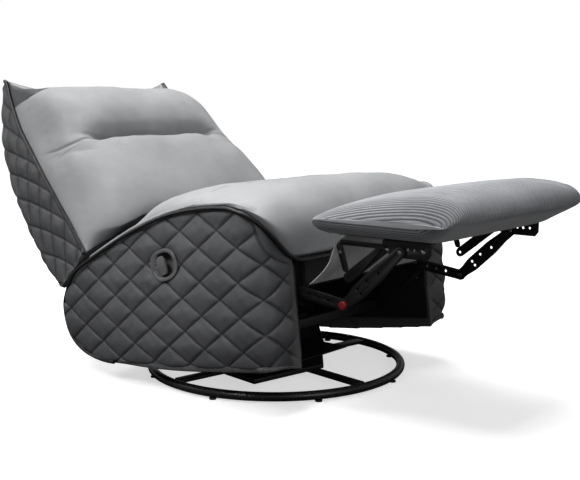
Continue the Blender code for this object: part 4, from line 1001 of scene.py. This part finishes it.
footShare = (back["cushionFoot"] - back["foot"]) / back["length"]


def sideDrop(share, across, level=0.8):
    # the foot of the back comes down outside the seat's bolster
    table = [(0.0, back["shellDrop"]), (footShare, back["footDrop"]), (0.20, back["footDrop"]),
             (0.30, back["footDrop"] * 0.6), (0.46, 0.0)]
    return softRead(table, share, 0.02) * smooth((np.abs(across) - level) / (1 - level))


def backUp(share, across):
    dip = back["topDip"] * share * (1 - np.abs(across) ** 2)
    return back["foot"] + share * (back["length"] - dip) - sideDrop(share, across)


def addBackShell():
    rows = 150
    shares = np.concatenate([np.linspace(0, footShare, 12)[:-1], np.linspace(footShare, 1, rows - 11)])[:, None]
    wing = np.linspace(0, 1, 56)
    corner = np.radians(np.linspace(0, 90, 12))
    # one side of the section: from the piping back along the wing and round to the rear
    outShare = np.concatenate([wing[:-1] * 0.80, 0.80 + 0.20 * np.sin(corner)])
    across = np.concatenate([np.full(55, 1.0), 0.93 + 0.07 * np.cos(corner)])
    rear = np.linspace(0.92, -0.92, 70)
    front = np.linspace(1, -1, 26)[1:-1]
    acrossRing = np.concatenate([-across, -rear, across[::-1], front])[None, :]
    outRing = np.concatenate([outShare, np.ones(70), outShare[::-1], np.zeros(24)])[None, :]
    h = backHalfWidth(shares)
    wingDepth = back["depth"] * softRead(back["wings"], shares, 0.04)
    middle = lerp(back["middleDepth"], back["headRoll"], shares)
    reach = lerp(wingDepth, np.minimum(middle, wingDepth + back["headRoll"]), 1 - np.abs(acrossRing) ** 4)
    up = backUp(shares, acrossRing)
    y, z = backPlace(up, backFront(shares) - gap - reach * outRing)
    rings = joined(h * acrossRing, y, z)
    mesh = makeMesh("backShell", rings.reshape(-1, 3), bentFaces(len(rings), acrossRing[0], rings.shape[1] - 24))
    points, normals = coordinates(mesh), coordinates(mesh, "normal")
    flatUp, flatOut, flatAcross, flatShare = (
        np.broadcast_to(grid, y.shape).ravel() for grid in (up, outRing * reach, acrossRing, shares))
    sideways = smooth((np.abs(normals[:, 0]) - 0.35) / 0.35) * (np.abs(flatAcross) > 0.9)
    fromPiping = smooth(flatOut / 0.02)
    padding, seam = quiltHeight(flatUp + wingSag(flatOut), flatOut, wingQuilt)
    height = (padding - 0.001) * sideways * fromPiping
    # marks the wings' quilting grooves for painted shade, mixed with the thread's colour
    writeOn(mesh, "seam", seam * sideways * fromPiping * 0.9)
    isRear = (np.abs(flatAcross) < 0.93) & (flatOut > 0.01)
    for place in (-0.86, 0.86):
        height -= back["rearSeam"] * np.exp(-((flatAcross - place) * 0.38 / 0.004) ** 2) * isRear
    height += (back["sag"] * wander(points, 0.2, 6) + 0.001 * wander(points, 0.07, 7)) * isRear
    height += 0.0018 * wander(points, 0.12, 8) * sideways
    height *= smooth(flatShare / 0.03) * smooth((1 - flatShare) / 0.03)
    setCoordinates(mesh, toRow(points + normals * height[:, None]))
    return addPiece("backCase", mesh, charcoalLeatherette, "back", ["back_shell"])


def addBackCushion():
    rows, columns = 190, 150
    k = np.linspace(0, len(back["profile"]) - 1, rows)[:, None]
    last = len(back["profile"]) - 1
    shares = lerp(footShare, 1.0, k / last)
    profile = smoothRun(back["profile"], k)
    upShare, outShare = profile[..., 0], profile[..., 1]
    low, high = back["creaseRows"]
    rise = np.clip((k - low) / (high - low), 0, 1)
    plain = np.where((rise > 0) & (rise < 1), lerp(back["profile"][low][1], back["profile"][high][1], rise), outShare)
    across = np.sin(np.linspace(-math.pi / 2, math.pi / 2, columns))[None, :]
    full = np.sqrt(1 - np.abs(across) ** 7)
    h = backHalfWidth(shares) - gap
    line = backFront(shares)
    middleUp = back["foot"] + upShare * back["length"]
    up = lerp(backUp(shares, across), middleUp, full) - sideDrop(shares, across, 0.5) * full
    # the cover hangs a little lower at both sides, over the piping of the seat
    up = up - back["hang"] * smooth((np.abs(across) - 0.3) / 0.4) * (1 - smooth(k / 5))
    fade = back["creaseFade"] * smooth((np.abs(across) - 0.45) / 0.35)
    out = lerp(line + back["edge"], back["cushionDepth"] * lerp(outShare, plain, fade), full)
    out = np.maximum(out, line + back["edge"])
    y, z = backPlace(up, out)
    frontSide = joined(h * across, y, z)
    acrossBack = np.linspace(1, -1, 30)[None, :]
    rearSide = joined(h * acrossBack, *backPlace(backUp(shares, acrossBack), line))
    rings = np.concatenate([frontSide, rearSide], 1)
    mesh = makeMesh("backCushion", rings.reshape(-1, 3),
                    bentFaces(rows, np.concatenate([across[0], acrossBack[0]]), columns))
    points, normals = coordinates(mesh), coordinates(mesh, "normal")
    row, column = np.divmod(np.arange(len(points)), rings.shape[1])
    isFront = column < columns
    away = np.abs(np.where(isFront, across[0, np.minimum(column, columns - 1)], 0))
    place = row / (rows - 1) * last
    edgeFade = smooth((1 - away) / 0.04) * smooth(place / 1.5) * smooth((last - place) / 1.0)
    fromCrease = place - creaseLine(away)
    edgeDepth, middleDepth, width = back["creaseSeam"]
    height = -(edgeDepth + middleDepth * smooth((0.62 - away) / 0.2)) * np.exp(-(fromCrease / width) ** 2) * edgeFade
    fill = np.exp(-((place - back["fillRow"]) / 0.8) ** 2)
    height += back["creaseFill"] * fill * smooth((0.65 - away) / 0.2)
    pucker = np.exp(-np.abs(fromCrease) / 0.9) * smooth((0.75 - away) / 0.2)
    gather = np.exp(-(1 - away) * 0.36 / 0.014)
    for high, stretch, size, seed, where in (
            (back["sag"], (1, 1, 1), 0.19, 9, 1), (back["wrinkle"], (1, 1, 1), 0.065, 10, 1),
            (back["pucker"], (1, 0.2, 0.2), 0.035, 11, pucker), (back["gather"], (0.2, 1, 1), 0.026, 12, gather)):
        height += high * wander(points * np.array(stretch), size, seed) * where * edgeFade
    # dark corner patches at the head end
    fromTop, fromSide = (last - place) / last * back["length"], (1 - away) * back["topWidth"] / 2
    ear = 1 - fromTop / back["earUp"] - fromSide / back["earAcross"]
    writeOn(mesh, "ear", np.where(isFront, 0.5 + ear * 0.4, 0.0))
    height -= back["earDepth"] * np.exp(-(ear * 0.07 / back["earSeam"]) ** 2) * isFront * edgeFade
    free = edgeFade * smooth((1 - away) / 0.18) * smooth((place - 3) / 3)
    writeOn(mesh, "free", isFront * free * (1 - np.exp(-(fromCrease / 0.8) ** 2)))
    setCoordinates(mesh, toRow(points + normals * np.where(isFront, height, 0)[:, None]))
    return addPiece("backCover", mesh, greyLeatherette, "back", ["back_cushion"])


def wingStitches(obj):
    pairs = []
    shares = np.linspace(0, 1, 200)
    ups = backUp(shares, 1.0)
    for flat in latticeLines(wingQuilt, 16, 12, 1500):
        out = flat[:, 1]
        up = flat[:, 0] - wingSag(out)
        share = np.interp(up, ups, shares)
        depth = back["depth"] * softRead(back["wings"], share, 0.04)
        fits = (out > 0.008) & (out < depth * 0.86) & (share > 0.03) & (share < 0.97)
        if fits.sum() < 8:
            continue
        place = joined(backHalfWidth(share), *backPlace(up, backFront(share) - gap - out))[fits]
        pairs += [withAim(part * np.array((side, 1, 1)), (side, 0, 0))
                  for part in np.split(place, jumps(place)) for side, _ in sides]
    sewAlong("wingStitches", obj, pairs, "quilting", "back")


def creaseStitches(obj):
    across = np.linspace(-0.97, 0.97, 260)
    k = creaseLine(across)
    profile = smoothRun(back["profile"], k)
    share = lerp(footShare, 1.0, k / (len(back["profile"]) - 1))
    y, z = backPlace(back["foot"] + profile[:, 0] * back["length"], back["cushionDepth"] * profile[:, 1])
    place = joined(across * backHalfWidth(share), y, z)
    way = (0, -math.sin(back["lean"]), math.cos(back["lean"]))
    sewAlong("creaseStitches", obj, [withAim(place, way)], "seam", "back", 0.05)


backCase, backCover = addBackShell(), addBackCushion()
clothFilled(backCover, 14, 0.008)
wingStitches(backCase)
creaseStitches(backCover)
print("back made")


# piping

piping = {"inset": 0.0044, "rearInset": 0.0040, "rounds": 6}


def addPiping():
    r = chair["pipingRadius"]
    off = r + 2 * gap
    inset, behind = piping["inset"], half - piping["rearInset"]
    # round the rear of the left panel, then forward along the seam
    low = smoothRun(panelLow, np.linspace(5.6, 0, 40))
    y = panelFront + low[:, 0] * panelLength - inset * low[:, 0]
    z = panelBottom + low[:, 1] * panelHeight + inset * (1 - low[:, 1] / 2)
    run = list(joined(behind, y, z))
    y = np.linspace(panelFront + panelLength * 0.985, float(frontPlace(half)), 90)
    x = lerp(behind, half + off, smooth((panelRear - y) / 0.06))
    run += list(joined(x, y - 0.003 * smooth((y - 0.25) / 0.1), sideHeight(y) - off))
    for a in np.linspace(0, math.pi / 2, 22)[1:]:
        x = half - cornerRadius + (cornerRadius + off) * math.cos(a)
        y = panelFront + cornerRadius - (cornerRadius + off) * math.sin(a)
        reach = half - cornerRadius + cornerRadius * math.cos(a)
        run.append((x, y, min(float(lipHeight(reach)), float(sideHeight(y))) - off))
    for x in np.linspace(half - cornerRadius, 0, 30)[1:]:
        run.append((x, panelFront - off, float(lipHeight(x)) - off))
    right = np.array(run, float)[::-1]
    points = np.concatenate([right[::-1] * np.array((-1, 1, 1)), right[1:]])
    for _ in range(piping["rounds"]):
        points[1:-1] = (points[:-2] + 2 * points[1:-1] + points[2:]) / 4
    addTube("seatPiping", toRow(points), r, pipingLeatherette, "chair", ["seat_piping"])
    share = np.linspace(0, 1, 70)
    for side, name in sides:
        y, z = backPlace(backUp(share, 1.0), backFront(share) + gap)
        line = joined(side * (backHalfWidth(share) + off), y, z)
        addTube("backPiping" + name, toRow(line), r, pipingLeatherette, "back",
                ["back_piping_" + name.lower()])


addPiping()
print("piping made")


# footrest

foot = {
    "rear": (-0.384, 0.398), "slope": math.radians(7.0), "width": 0.596, "depth": 0.372, "thickness": 0.102,
    "corner": 0.036, "board": 0.012, "boardInset": 0.052, "frontInset": 0.082, "sideRise": 0.020,
    "section": [(0.10, 0.0), (0.035, 0.05), (0.008, 0.12), (0.0, 0.20), (0.006, 0.29), (0.03, 0.39),
                (0.08, 0.49), (0.16, 0.61), (0.30, 0.77), (0.45, 0.90), (0.62, 1.0), (0.77, 1.05),
                (0.88, 1.01), (0.945, 0.93), (0.985, 0.80), (1.0, 0.66), (0.994, 0.53),
                (0.968, 0.41), (0.925, 0.30), (0.865, 0.17), (0.79, 0.0)],
    "ribPitch": 0.0062, "ribDepth": 0.0019, "endRoll": 0.040, "endShrink": 0.97, "endMiddle": 0.34,
    "sag": 0.0020, "sideShare": 0.66, "columns": 260, "endColumns": 70, "around": 120,
}


def footPlace(along, up):
    c, s = math.cos(foot["slope"]), math.sin(foot["slope"])
    return foot["rear"][0] - along * c - up * s, foot["rear"][1] - along * s + up * c


def addFootCushion():
    h = foot["width"] / 2
    roll = h - foot["endRoll"]
    bend = np.linspace(0, math.pi / 2, foot["endColumns"])
    straight = np.linspace(0, roll, foot["columns"])[1:-1]
    out = np.concatenate([straight, roll + foot["endRoll"] * np.sin(bend)])
    x = np.concatenate([-out[::-1], [0.0], out])[:, None]
    share = np.abs(x) / h
    section = smoothRun(foot["section"], np.linspace(0, len(foot["section"]) - 1, foot["around"]))[None]
    corner = np.maximum(0, np.abs(x) - (h - foot["corner"]))
    draw = foot["corner"] - np.sqrt(np.maximum(foot["corner"] ** 2 - corner ** 2, 0))
    full = np.sqrt(1 - np.minimum(share, 1) ** 8)
    along = lerp(draw, foot["depth"] - draw, section[..., 0])
    up = foot["thickness"] * section[..., 1] * lerp(foot["sideShare"], 1.0, full)
    up = up + foot["sideRise"] * (1 - full) * (1 - section[..., 1])
    # both ends are rounded off instead of flat
    end = np.clip((np.abs(x) - roll) / (h - roll), 0, 1)
    shrink = np.sqrt(1 - foot["endShrink"] * end ** 2)
    middle = lerp(up.min(1, keepdims=True), up.max(1, keepdims=True), foot["endMiddle"])
    slide = np.abs(up - middle) * (1 - shrink)
    up = middle + (up - middle) * shrink
    y, z = footPlace(along, up - foot["board"])
    mesh = ringMesh("footCushion", joined(x, y, z))
    points, normals = coordinates(mesh), coordinates(mesh, "normal")
    underside = smooth((-normals[:, 2] - 0.75) / 0.2)
    inside = h - np.abs(points[:, 0])
    fade = smooth(inside / 0.0006) * (1 - underside)
    # the ribs follow the cloth round both ends
    rib = np.abs(np.sin(math.pi * (np.abs(points[:, 0]) + slide.ravel()) / foot["ribPitch"])) ** 0.7
    # marks the grooves between the ribs for painted shade
    writeOn(mesh, "seam", (1 - rib) * 0.95 * fade)
    height = foot["ribDepth"] * (rib - 1) * fade
    height += foot["sag"] * wander(points, 0.18, 13) * fade
    setCoordinates(mesh, toRow(points + normals * height[:, None]))
    writeOn(mesh, "free", smooth(inside / 0.06) * (1 - underside))
    obj = addPiece("footCover", mesh, ribbedCloth, "footrest", ["foot_cushion"])
    clothFilled(obj, 12, 0.004)
    # pocket for the board
    hx = h - foot["boardInset"] + gap
    near, far = foot["boardInset"] - gap, foot["depth"] - foot["frontInset"] + gap
    under = -foot["board"] - 0.01
    box = [(x, *footPlace(*corner)) for x in (-hx, hx)
           for corner in ((near, under), (far, under), (far, gap), (near, gap))]
    cutter = addObject("boardPocket", makeMesh("boardPocket", toRow(box), gridFaces(2, 4)))
    carve(obj, cutter)
    carved = evaluated(obj)
    obj.modifiers.clear()
    obj.data = carved
    bpy.data.objects.remove(cutter, do_unlink=True)
    return obj


addFootCushion()
print("footrest made")


# cloth curtain

seatFrame = {"width": 0.464, "share": 0.578, "bottom": 0.318, "apron": 0.054, "thick": 0.018, "round": 0.003}
curtain = {"width": 0.440, "thickness": 0.0016, "fold": 0.006, "waves": 5, "unevenFold": 0.0025,
           "unevenWaves": 2.3, "forward": 0.0015, "keep": 0.08, "overlap": 0.006,
           "line": [(0.0, 0.0), (0.14, 0.10), (0.34, 0.26), (0.50, 0.46), (0.60, 0.68), (0.76, 0.87), (1.0, 1.0)]}


def addCurtain():
    low = (panelFront, seatFrame["bottom"] - seatFrame["apron"] + curtain["overlap"])
    high = footPlace(foot["boardInset"] + curtain["overlap"], -foot["board"] - 2 * gap)
    columns, rows = 180, 60
    x = np.linspace(-curtain["width"] / 2, curtain["width"] / 2, columns)[:, None]
    t = np.linspace(0, len(curtain["line"]) - 1, rows)[None, :]
    run = smoothRun(curtain["line"], t)
    loose = np.sin(math.pi * np.clip(run[..., 1], 0, 1))
    wave = curtain["fold"] * np.sin(2 * math.pi * curtain["waves"] * (x / curtain["width"] + 0.5))
    turns = 2 * math.pi * curtain["unevenWaves"] * x / curtain["width"]
    wave = wave + curtain["unevenFold"] * np.sin(turns + 3 * run[..., 1])
    y = lerp(low[0], high[0], run[..., 0]) - wave * loose - curtain["forward"]
    points = joined(x, y, lerp(low[1], high[1], run[..., 1]) - curtain["forward"])
    faces = [[r * rows + c, r * rows + c + 1, (r + 1) * rows + c + 1, (r + 1) * rows + c]
             for r in range(columns - 1) for c in range(rows - 1)]
    mesh = bpy.data.meshes.new("curtainSheet")
    mesh.from_pydata([tuple(p) for p in toRow(points.reshape(-1, 3))], [], faces)
    obj = addObject("curtainSheet", mesh)
    modify(obj, "SOLIDIFY", {"thickness": curtain["thickness"], "offset": 0})
    mesh = baked(obj)
    mesh.shade_smooth()
    obj = addPiece("footCurtain", mesh, curtainCloth, "chair", ["foot_curtain"])
    low = toRow([(0, *low)])[0]
    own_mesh(obj)


addCurtain()
print("curtain made")


# seat frame and linings in black spun cloth

def addSeatFrame():
    thick, r = seatFrame["thick"], seatFrame["round"]
    x = np.linspace(-seatFrame["width"] / 2, seatFrame["width"] / 2, 90)[:, None]
    front = frontPlace(x)
    y = lerp(front, panelRear, np.linspace(0, seatFrame["share"], 60)[None, :])
    z = seamHeight(x, y) - 2 * gap
    y = np.maximum(y, front + gap)
    rear = y[:, -1:]
    bottom = seatFrame["bottom"]
    apron = bottom - seatFrame["apron"]
    inner, outer = front + gap + thick, front + gap
    lower = [(rear, bottom + 0.002), (rear - r, bottom)]
    lower += [(lerp(rear, inner, share), bottom) for share in (0.33, 0.66, 0.98, 1.0)]
    lower += [(inner, apron + r), (inner - r, apron), (outer + r, apron), (outer, apron + r)]
    rings = np.concatenate([joined(x, y, z)] + [joined(x, a, b) for a, b in lower], 1)
    mesh = ringMesh("seatFrame", rings)
    setCoordinates(mesh, toRow(coordinates(mesh)))
    addPiece("seatFrameCover", mesh, liningCloth, "chair", ["seat_frame"])


lining = {
    "front": panelFront + 0.006, "rear": 0.25, "top": seatFrame["bottom"], "thick": 0.008,
    "floor": [(0.0, 0.111), (0.16, 0.111), (0.23, 0.111 + 0.04), (0.25, 0.298)],
    "sag": 0.0012, "wrinkle": 0.0008, "lift": 0.001,
}


def addLining(side, name):
    front, rear, top = lining["front"], lining["rear"], lining["top"]
    y = np.linspace(front, rear, 90)[:, None]
    floor = np.interp(y, *np.array(lining["floor"]).T)
    count = 46
    z = lerp(floor, top, np.arange(count) / (count - 1))
    x = panelInner - gap
    flat = joined(x - lining["thick"], y, z).reshape(-1, 3)
    pull = lining["sag"] * wander(flat, 0.09, 14)
    pull += lining["wrinkle"] * wander(flat * np.array((1, 1, 0.3)), 0.03, 15)
    edge = smooth((flat[:, 1] - front) / 0.03) * smooth((rear - flat[:, 1]) / 0.03)
    flat[:, 0] += (pull + lining["lift"]) * edge * smooth((top - flat[:, 2]) / 0.03)
    points = np.concatenate([flat, joined(x, y, z).reshape(-1, 3)])
    points[:, 0] *= side
    total, rows = len(flat), len(y)
    faces = []
    for r in range(rows - 1):
        for k in range(count - 1):
            a, b = r * count + k, (r + 1) * count + k
            faces.append([a, a + 1, b + 1, b])
            faces.append([total + a, total + b, total + b + 1, total + a + 1])
    rim = [r * count for r in range(rows)] + [(rows - 1) * count + k for k in range(1, count)]
    rim += [r * count + count - 1 for r in range(rows - 2, -1, -1)] + list(range(count - 2, 0, -1))
    faces += [[a, b, total + b, total + a] for a, b in zip(rim, rim[1:] + rim[:1])]
    mesh = makeMesh("lining", points, faces)
    setCoordinates(mesh, toRow(coordinates(mesh)))
    addPiece("innerLining" + name, mesh, liningCloth, "chair", ["lining_" + name.lower()])


addSeatFrame()
for side, name in sides:
    addLining(side, name)
print("linings made")


# steel and plastic kept from the CAD, with broken edges

# node: width of the broken edge; a tilde stands for left and right
steelEdges = {
    "base_cross": 0.0012, "turntable_plate": 0.0015, "rocker_base": 0.0008, "rocker_shaft": 0.0006,
    "side_plate~": 0.0005, "front_rail": 0.0018, "rear_rail": 0.0018, "rocker_beam~": 0.0008,
    "rear_link~": 0.0005, "front_link~": 0.0005, "upper_link~": 0.0005, "lift_arm~": 0.0005,
    "foot_bracket~": 0.0005, "back_hinge~": 0.0005,
}
pinEdges = {"rear_pin~": 0.0008, "back_pin~": 0.0008, "knee_pin~": 0.0008, "foot_pin~": 0.0008}
glideEdges = {"glide_%d" % k: 0.0012 for k in range(1, 9)}
bodyOf = {node: body for body, nodes in frame["record"]["behaviour"]["bodies"].items() for node in nodes}


def addBevelled(node, material, width):
    words = node.split("_")
    name = {"turntable_plate": "turntable"}.get(node, words[0] + "".join(word.capitalize() for word in words[1:]))
    mesh = frame["nodes"][node].data.copy()
    work = bmesh.new()
    work.from_mesh(mesh)
    bmesh.ops.remove_doubles(work, verts=work.verts[:], dist=0.00005)
    bmesh.ops.dissolve_limit(work, angle_limit=math.radians(1.0), verts=work.verts[:], edges=work.edges[:])
    bmesh.ops.recalc_face_normals(work, faces=work.faces[:])
    work.to_mesh(mesh)
    work.free()
    mesh.name = name
    mesh = roundEdges(addObject(name + "Form", mesh), width, 40.0)
    return addPiece(name, mesh, material, bodyOf[node], [node])


def addKept(edges, material):
    for key, width in edges.items():
        for ending in ("_left", "_right") if key.endswith("~") else ("",):
            node = key.rstrip("~") + ending
            steelPieces[node] = addBevelled(node, material, width)


steelPieces = {}
addKept(steelEdges, blackSteel)
addKept(pinEdges, brightSteel)
addKept({"knee_bushing~": 0.0012}, redPlastic)
addKept({"foot_board": 0.001}, stainedPlywood)
addKept({"swivel_bearing": 0.0008}, springSteel)
addKept(glideEdges, glidePlastic)
print("steel made")


ring = {"radius": 0.325, "wire": 0.011, "height": 0.016}
spring = {"radius": 0.015, "wire": 0.0022, "turns": 5, "perTurn": 36, "flatTurns": 0.6, "pitchTurns": 3.8}


def addBaseRing():
    turn = np.linspace(0, 2 * math.pi, 181)[:-1]
    points = joined(baseCentre.x + ring["radius"] * np.cos(turn), baseCentre.y + ring["radius"] * np.sin(turn),
                    ring["height"])
    addTube("baseRing", points, ring["wire"], baseSteel, bodyOf["base_ring"], ["base_ring"], True, 5)


def addSprings():
    wire = spring["wire"]
    a = np.linspace(0, 2 * math.pi * spring["turns"], spring["turns"] * spring["perTurn"] + 1)
    rise = np.clip(a / (2 * math.pi) - spring["flatTurns"], 0, spring["pitchTurns"]) / spring["pitchTurns"]
    for side, name in sides:
        node = "rocker_spring_" + name.lower()
        low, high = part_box(node)
        centre = (low + high) / 2
        x, y = centre.x, centre.y
        points = joined(x + spring["radius"] * np.cos(a), y + spring["radius"] * np.sin(a),
                        lerp(low.z + wire, high.z - wire, rise))
        obj = addTube("rockerSpring" + name, points, wire, springSteel, "swivel", [node])
        obj.parent = None
        obj.matrix_world = Matrix.Identity(4)
        if "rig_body" in obj:
            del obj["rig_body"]
        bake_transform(obj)


# rivets and the ribbed tread of the linkage, at (y, z) places on its plates
linkage = {
    "rivets": {"front_links": [("lift_arm", (-0.4937, 0.2690)), ("upper_link", (-0.5798, 0.3373)),
                               ("front_link", (-0.4010, 0.2300)), ("lift_arm", (-0.4288, 0.3400))],
               "footrest": [("foot_bracket", (-0.5554, 0.3421)), ("foot_bracket", (-0.6426, 0.3336))],
               "chair": [("side_plate", (-0.2900, 0.2200))]},
    "rivetSize": (0.0095, 0.0095, 0.0036),
    "tread": ((-0.4866, 0.2991), (-0.5403, 0.3426)), "treadPitch": 0.0042, "treadSize": (0.011, 0.0032, 0.0020),
    "outside": 0.33, "reach": 0.12,
}


def addLinkDetails():
    for side, word in sides:
        ending, x = "_" + word.lower(), side * linkage["outside"]
        for body, spots in linkage["rivets"].items():
            runs = []
            for plate, (y, z) in spots:
                place, aim = withAim(np.array([(x, y, z)] * 3), (side, 0, 0))
                hit = laidOn(steelPieces[plate + ending], [(place, aim)], linkage["reach"])
                if hit:
                    runs.append([hit[0][0], hit[0][0] + Vector(aim[0]) * 0.002])
            if runs:
                title = body.title().replace("_", "")
                repeatAlong("rivets" + title + word, runs, "Bead", 0.02, linkage["rivetSize"], brightSteel, body)
        start, end = (np.array((x, *spot)) for spot in linkage["tread"])
        line = withAim(lerp(start, end, np.linspace(0, 1, 60)[:, None]), (side, 0, 0))
        runs = laidOn(steelPieces["upper_link" + ending], [line], linkage["reach"])
        if runs:
            repeatAlong("linkTread" + word, runs, "Bar", linkage["treadPitch"], linkage["treadSize"], blackSteel,
                        "front_links")


addLinkDetails()
print("link details made")
addBaseRing()
addSprings()
print("base ring and springs made")


# latch

# fixed cover round the handle's stem; shares of the cup's inner half width and height
latchPlate = {"deep": (0.0004, 0.0050), "arc": (0.36, 0.985), "stem": 0.24,
              "inner": [(1.02, 0.24), (0.72, 0.24), (0.70, 0.67), (0.45, 0.93)], "edge": 0.0006}


def addLatchPlates():
    a, b = latch["width"] / 2 - latch["rim"], latch["height"] / 2 - latch["rim"]
    reach, rise = a - 0.002, b - 0.002
    first, last = latchPlate["arc"]
    arc = [(along, b * math.sqrt(1 - (along / a) ** (2 / latch["power"])) ** latch["power"])
           for along in np.linspace(first * reach, last * a, 16)]
    outline = [(p, q) for p, q in arc if q > latchPlate["stem"] * rise]
    outline += [(p * reach, q * rise) for p, q in latchPlate["inner"]]
    for way, name in ((1, "Upper"), (-1, "Lower")):
        rings = [(-half - latch["proud"] + deep, *latchPlace(p, way * q))
                 for deep in latchPlate["deep"] for p, q in outline]
        mesh = makeMesh("latchPlate" + name, toRow(rings), gridFaces(2, len(outline)))
        mesh = roundEdges(addObject("latchPlateForm", mesh), latchPlate["edge"], 30.0)
        addPiece("latchPlate" + name, mesh, latchPlastic, "chair", ())


def addLatch():
    rim, wall, proud = latch["rim"], latch["wall"], latch["proud"]
    inner, outer = 0.0025, 0.0022      # radii of the rim's two edges
    face, deep = -half - gap, -half + latch["depth"]
    steps = [(rim - wall, deep), (rim - wall, face - 0.0002), (0.0012, face), (0.0, face - 0.001),
             (0.0, face - proud * 0.5)]
    for a in np.radians(np.linspace(0, 90, 7)):
        steps.append((outer * (1 - math.cos(a)), face - proud * 0.5 - proud * 0.5 * math.sin(a)))
    steps.append((rim - inner, face - proud))
    for a in np.radians(np.linspace(15, 90, 6)):
        steps.append((rim - inner + inner * math.sin(a), face - proud + inner * (1 - math.cos(a))))
    steps += [(rim, deep - wall - 0.002), (rim + 0.002, deep - wall)]
    rings = np.array([joined(x, *latchRing(inset, 72)) for inset, x in steps])
    mesh = ringMesh("latchCup", rings)
    setCoordinates(mesh, toRow(coordinates(mesh)))
    mesh.set_sharp_from_angle(angle=math.radians(50))
    addPiece("latchCup", mesh, latchPlastic, "chair", ["latch_cup"])
    addBevelled("latch_handle", latchPlastic, 0.0014)


addLatch()
addLatchPlates()
print("latch made")


# floor, lights, camera

studio = {"floorSize": 12.0, "shade": (0.9, 3.0), "glow": (0.60, 0.95), "fill": 0.24}
# place, target, size, watts, spread in degrees
lamps = {
    "topSoftbox": ((0.5, 0.7, 2.8), (0, -0.1, 0.3), (1.8, 1.8), 84, 180),
    "footSoftbox": ((-0.8, -0.5, 2.1), (-0.16, -0.56, 0.42), (0.5, 0.5), 1.3, 45),
    "frontSoftbox": ((-0.9, -3.0, 1.1), (0, 0, 0.3), (1.4, 1.0), 12, 180),
    "leftSoftbox": ((-1.3, 1.35, 1.25), (-0.39, 0.1, 0.3), (0.5, 0.5), 12, 180),
    "sideSoftbox": ((-1.6, -0.3, 1.35), (-0.39, 0.02, 0.36), (0.4, 0.4), 0.8, 38),
}
# solved from the photo: focal length in pixels over its width, place from the base's centre
photoCamera = {"focal": 1004 / 580, "place": (-1.962, -1.669, 0.695), "ahead": (0.7633, 0.6312, -0.1376),
               "right": (0.6373, -0.7706, 0.0)}


def emptyTree(owner, output):
    owner.use_nodes = True
    tree = owner.node_tree
    tree.nodes.clear()
    return tree, addNode(tree, output).inputs["Surface"]


def linkMix(tree, surface, factor, first, second):
    mix = addNode(tree, "ShaderNodeMixShader", None, {0: factor, 1: first.outputs[0], 2: second.outputs[0]})
    tree.links.new(mix.outputs[0], surface)


def addStage():
    size = studio["floorSize"]
    mesh = bpy.data.meshes.new("studioFloor")
    mesh.from_pydata([(-size, -size, 0), (size, -size, 0), (size, size, 0), (-size, size, 0)], [], [(0, 1, 2, 3)])
    floor = addObject("studioFloor", mesh)
    material = bpy.data.materials.new("paleStudioFloor")
    tree, surface = emptyTree(material, "ShaderNodeOutputMaterial")
    # the camera sees a white floor with its shadow; the chair is lit from below as by a dark one
    matt = addNode(tree, "ShaderNodeBsdfDiffuse", None, {"Color": colour("#e8e8e8")})
    dark = addNode(tree, "ShaderNodeBsdfDiffuse", None, {"Color": colour("#505050")})
    place = addNode(tree, "ShaderNodeTexCoord").outputs["Object"]
    away = addNode(tree, "ShaderNodeVectorMath", {"operation": "LENGTH"}, {0: place}).outputs["Value"]
    strength = greyBand(tree, away, *studio["shade"], *studio["glow"])
    glow = addNode(tree, "ShaderNodeEmission", None, {"Color": colour("#ffffff"), "Strength": strength})
    both = addNode(tree, "ShaderNodeAddShader", None, {0: matt.outputs[0], 1: glow.outputs[0]})
    seen = addNode(tree, "ShaderNodeLightPath").outputs["Is Camera Ray"]
    linkMix(tree, surface, seen, dark, both)
    mesh.materials.append(material)


def addLamp(name, place, target, size, power, angle):
    lamp = bpy.data.lights.new(name, "AREA")
    lamp.spread = math.radians(angle)
    lamp.shape, lamp.size, lamp.size_y, lamp.energy = "RECTANGLE", size[0], size[1], power
    obj = addObject(name, lamp)
    obj.location = place
    obj.rotation_mode = "QUATERNION"
    obj.rotation_quaternion = (Vector(target) - Vector(place)).to_track_quat("-Z", "Y")


def addWorld():
    scene.world = bpy.data.worlds.new("whiteStudio")
    tree, surface = emptyTree(scene.world, "ShaderNodeOutputWorld")
    path = addNode(tree, "ShaderNodeLightPath").outputs
    direct = maths(tree, "MAXIMUM", path["Is Camera Ray"], path["Is Transmission Ray"])
    fill, white = (addNode(tree, "ShaderNodeBackground", None, {"Color": colour("#ffffff"), "Strength": strength})
                   for strength in (studio["fill"], 1.0))
    linkMix(tree, surface, direct, fill, white)


def addCamera():
    data = bpy.data.cameras.new("photoCamera")
    data.sensor_width = 36.0
    data.lens = photoCamera["focal"] * 36.0
    data.clip_start, data.clip_end = 0.05, 60
    camera = addObject("photoCamera", data)
    ahead, right = Vector(photoCamera["ahead"]).normalized(), Vector(photoCamera["right"]).normalized()
    turn = Matrix((right, right.cross(ahead).normalized(), -ahead)).transposed()
    x, y, z = photoCamera["place"]
    camera.matrix_world = Matrix.Translation((baseCentre.x + x, baseCentre.y + y, z)) @ turn.to_4x4()
    scene.camera = camera


addStage()
addWorld()
for name, values in lamps.items():
    addLamp(name, *values)
addCamera()
scene.view_settings.view_transform = "Standard"
print("stage made")
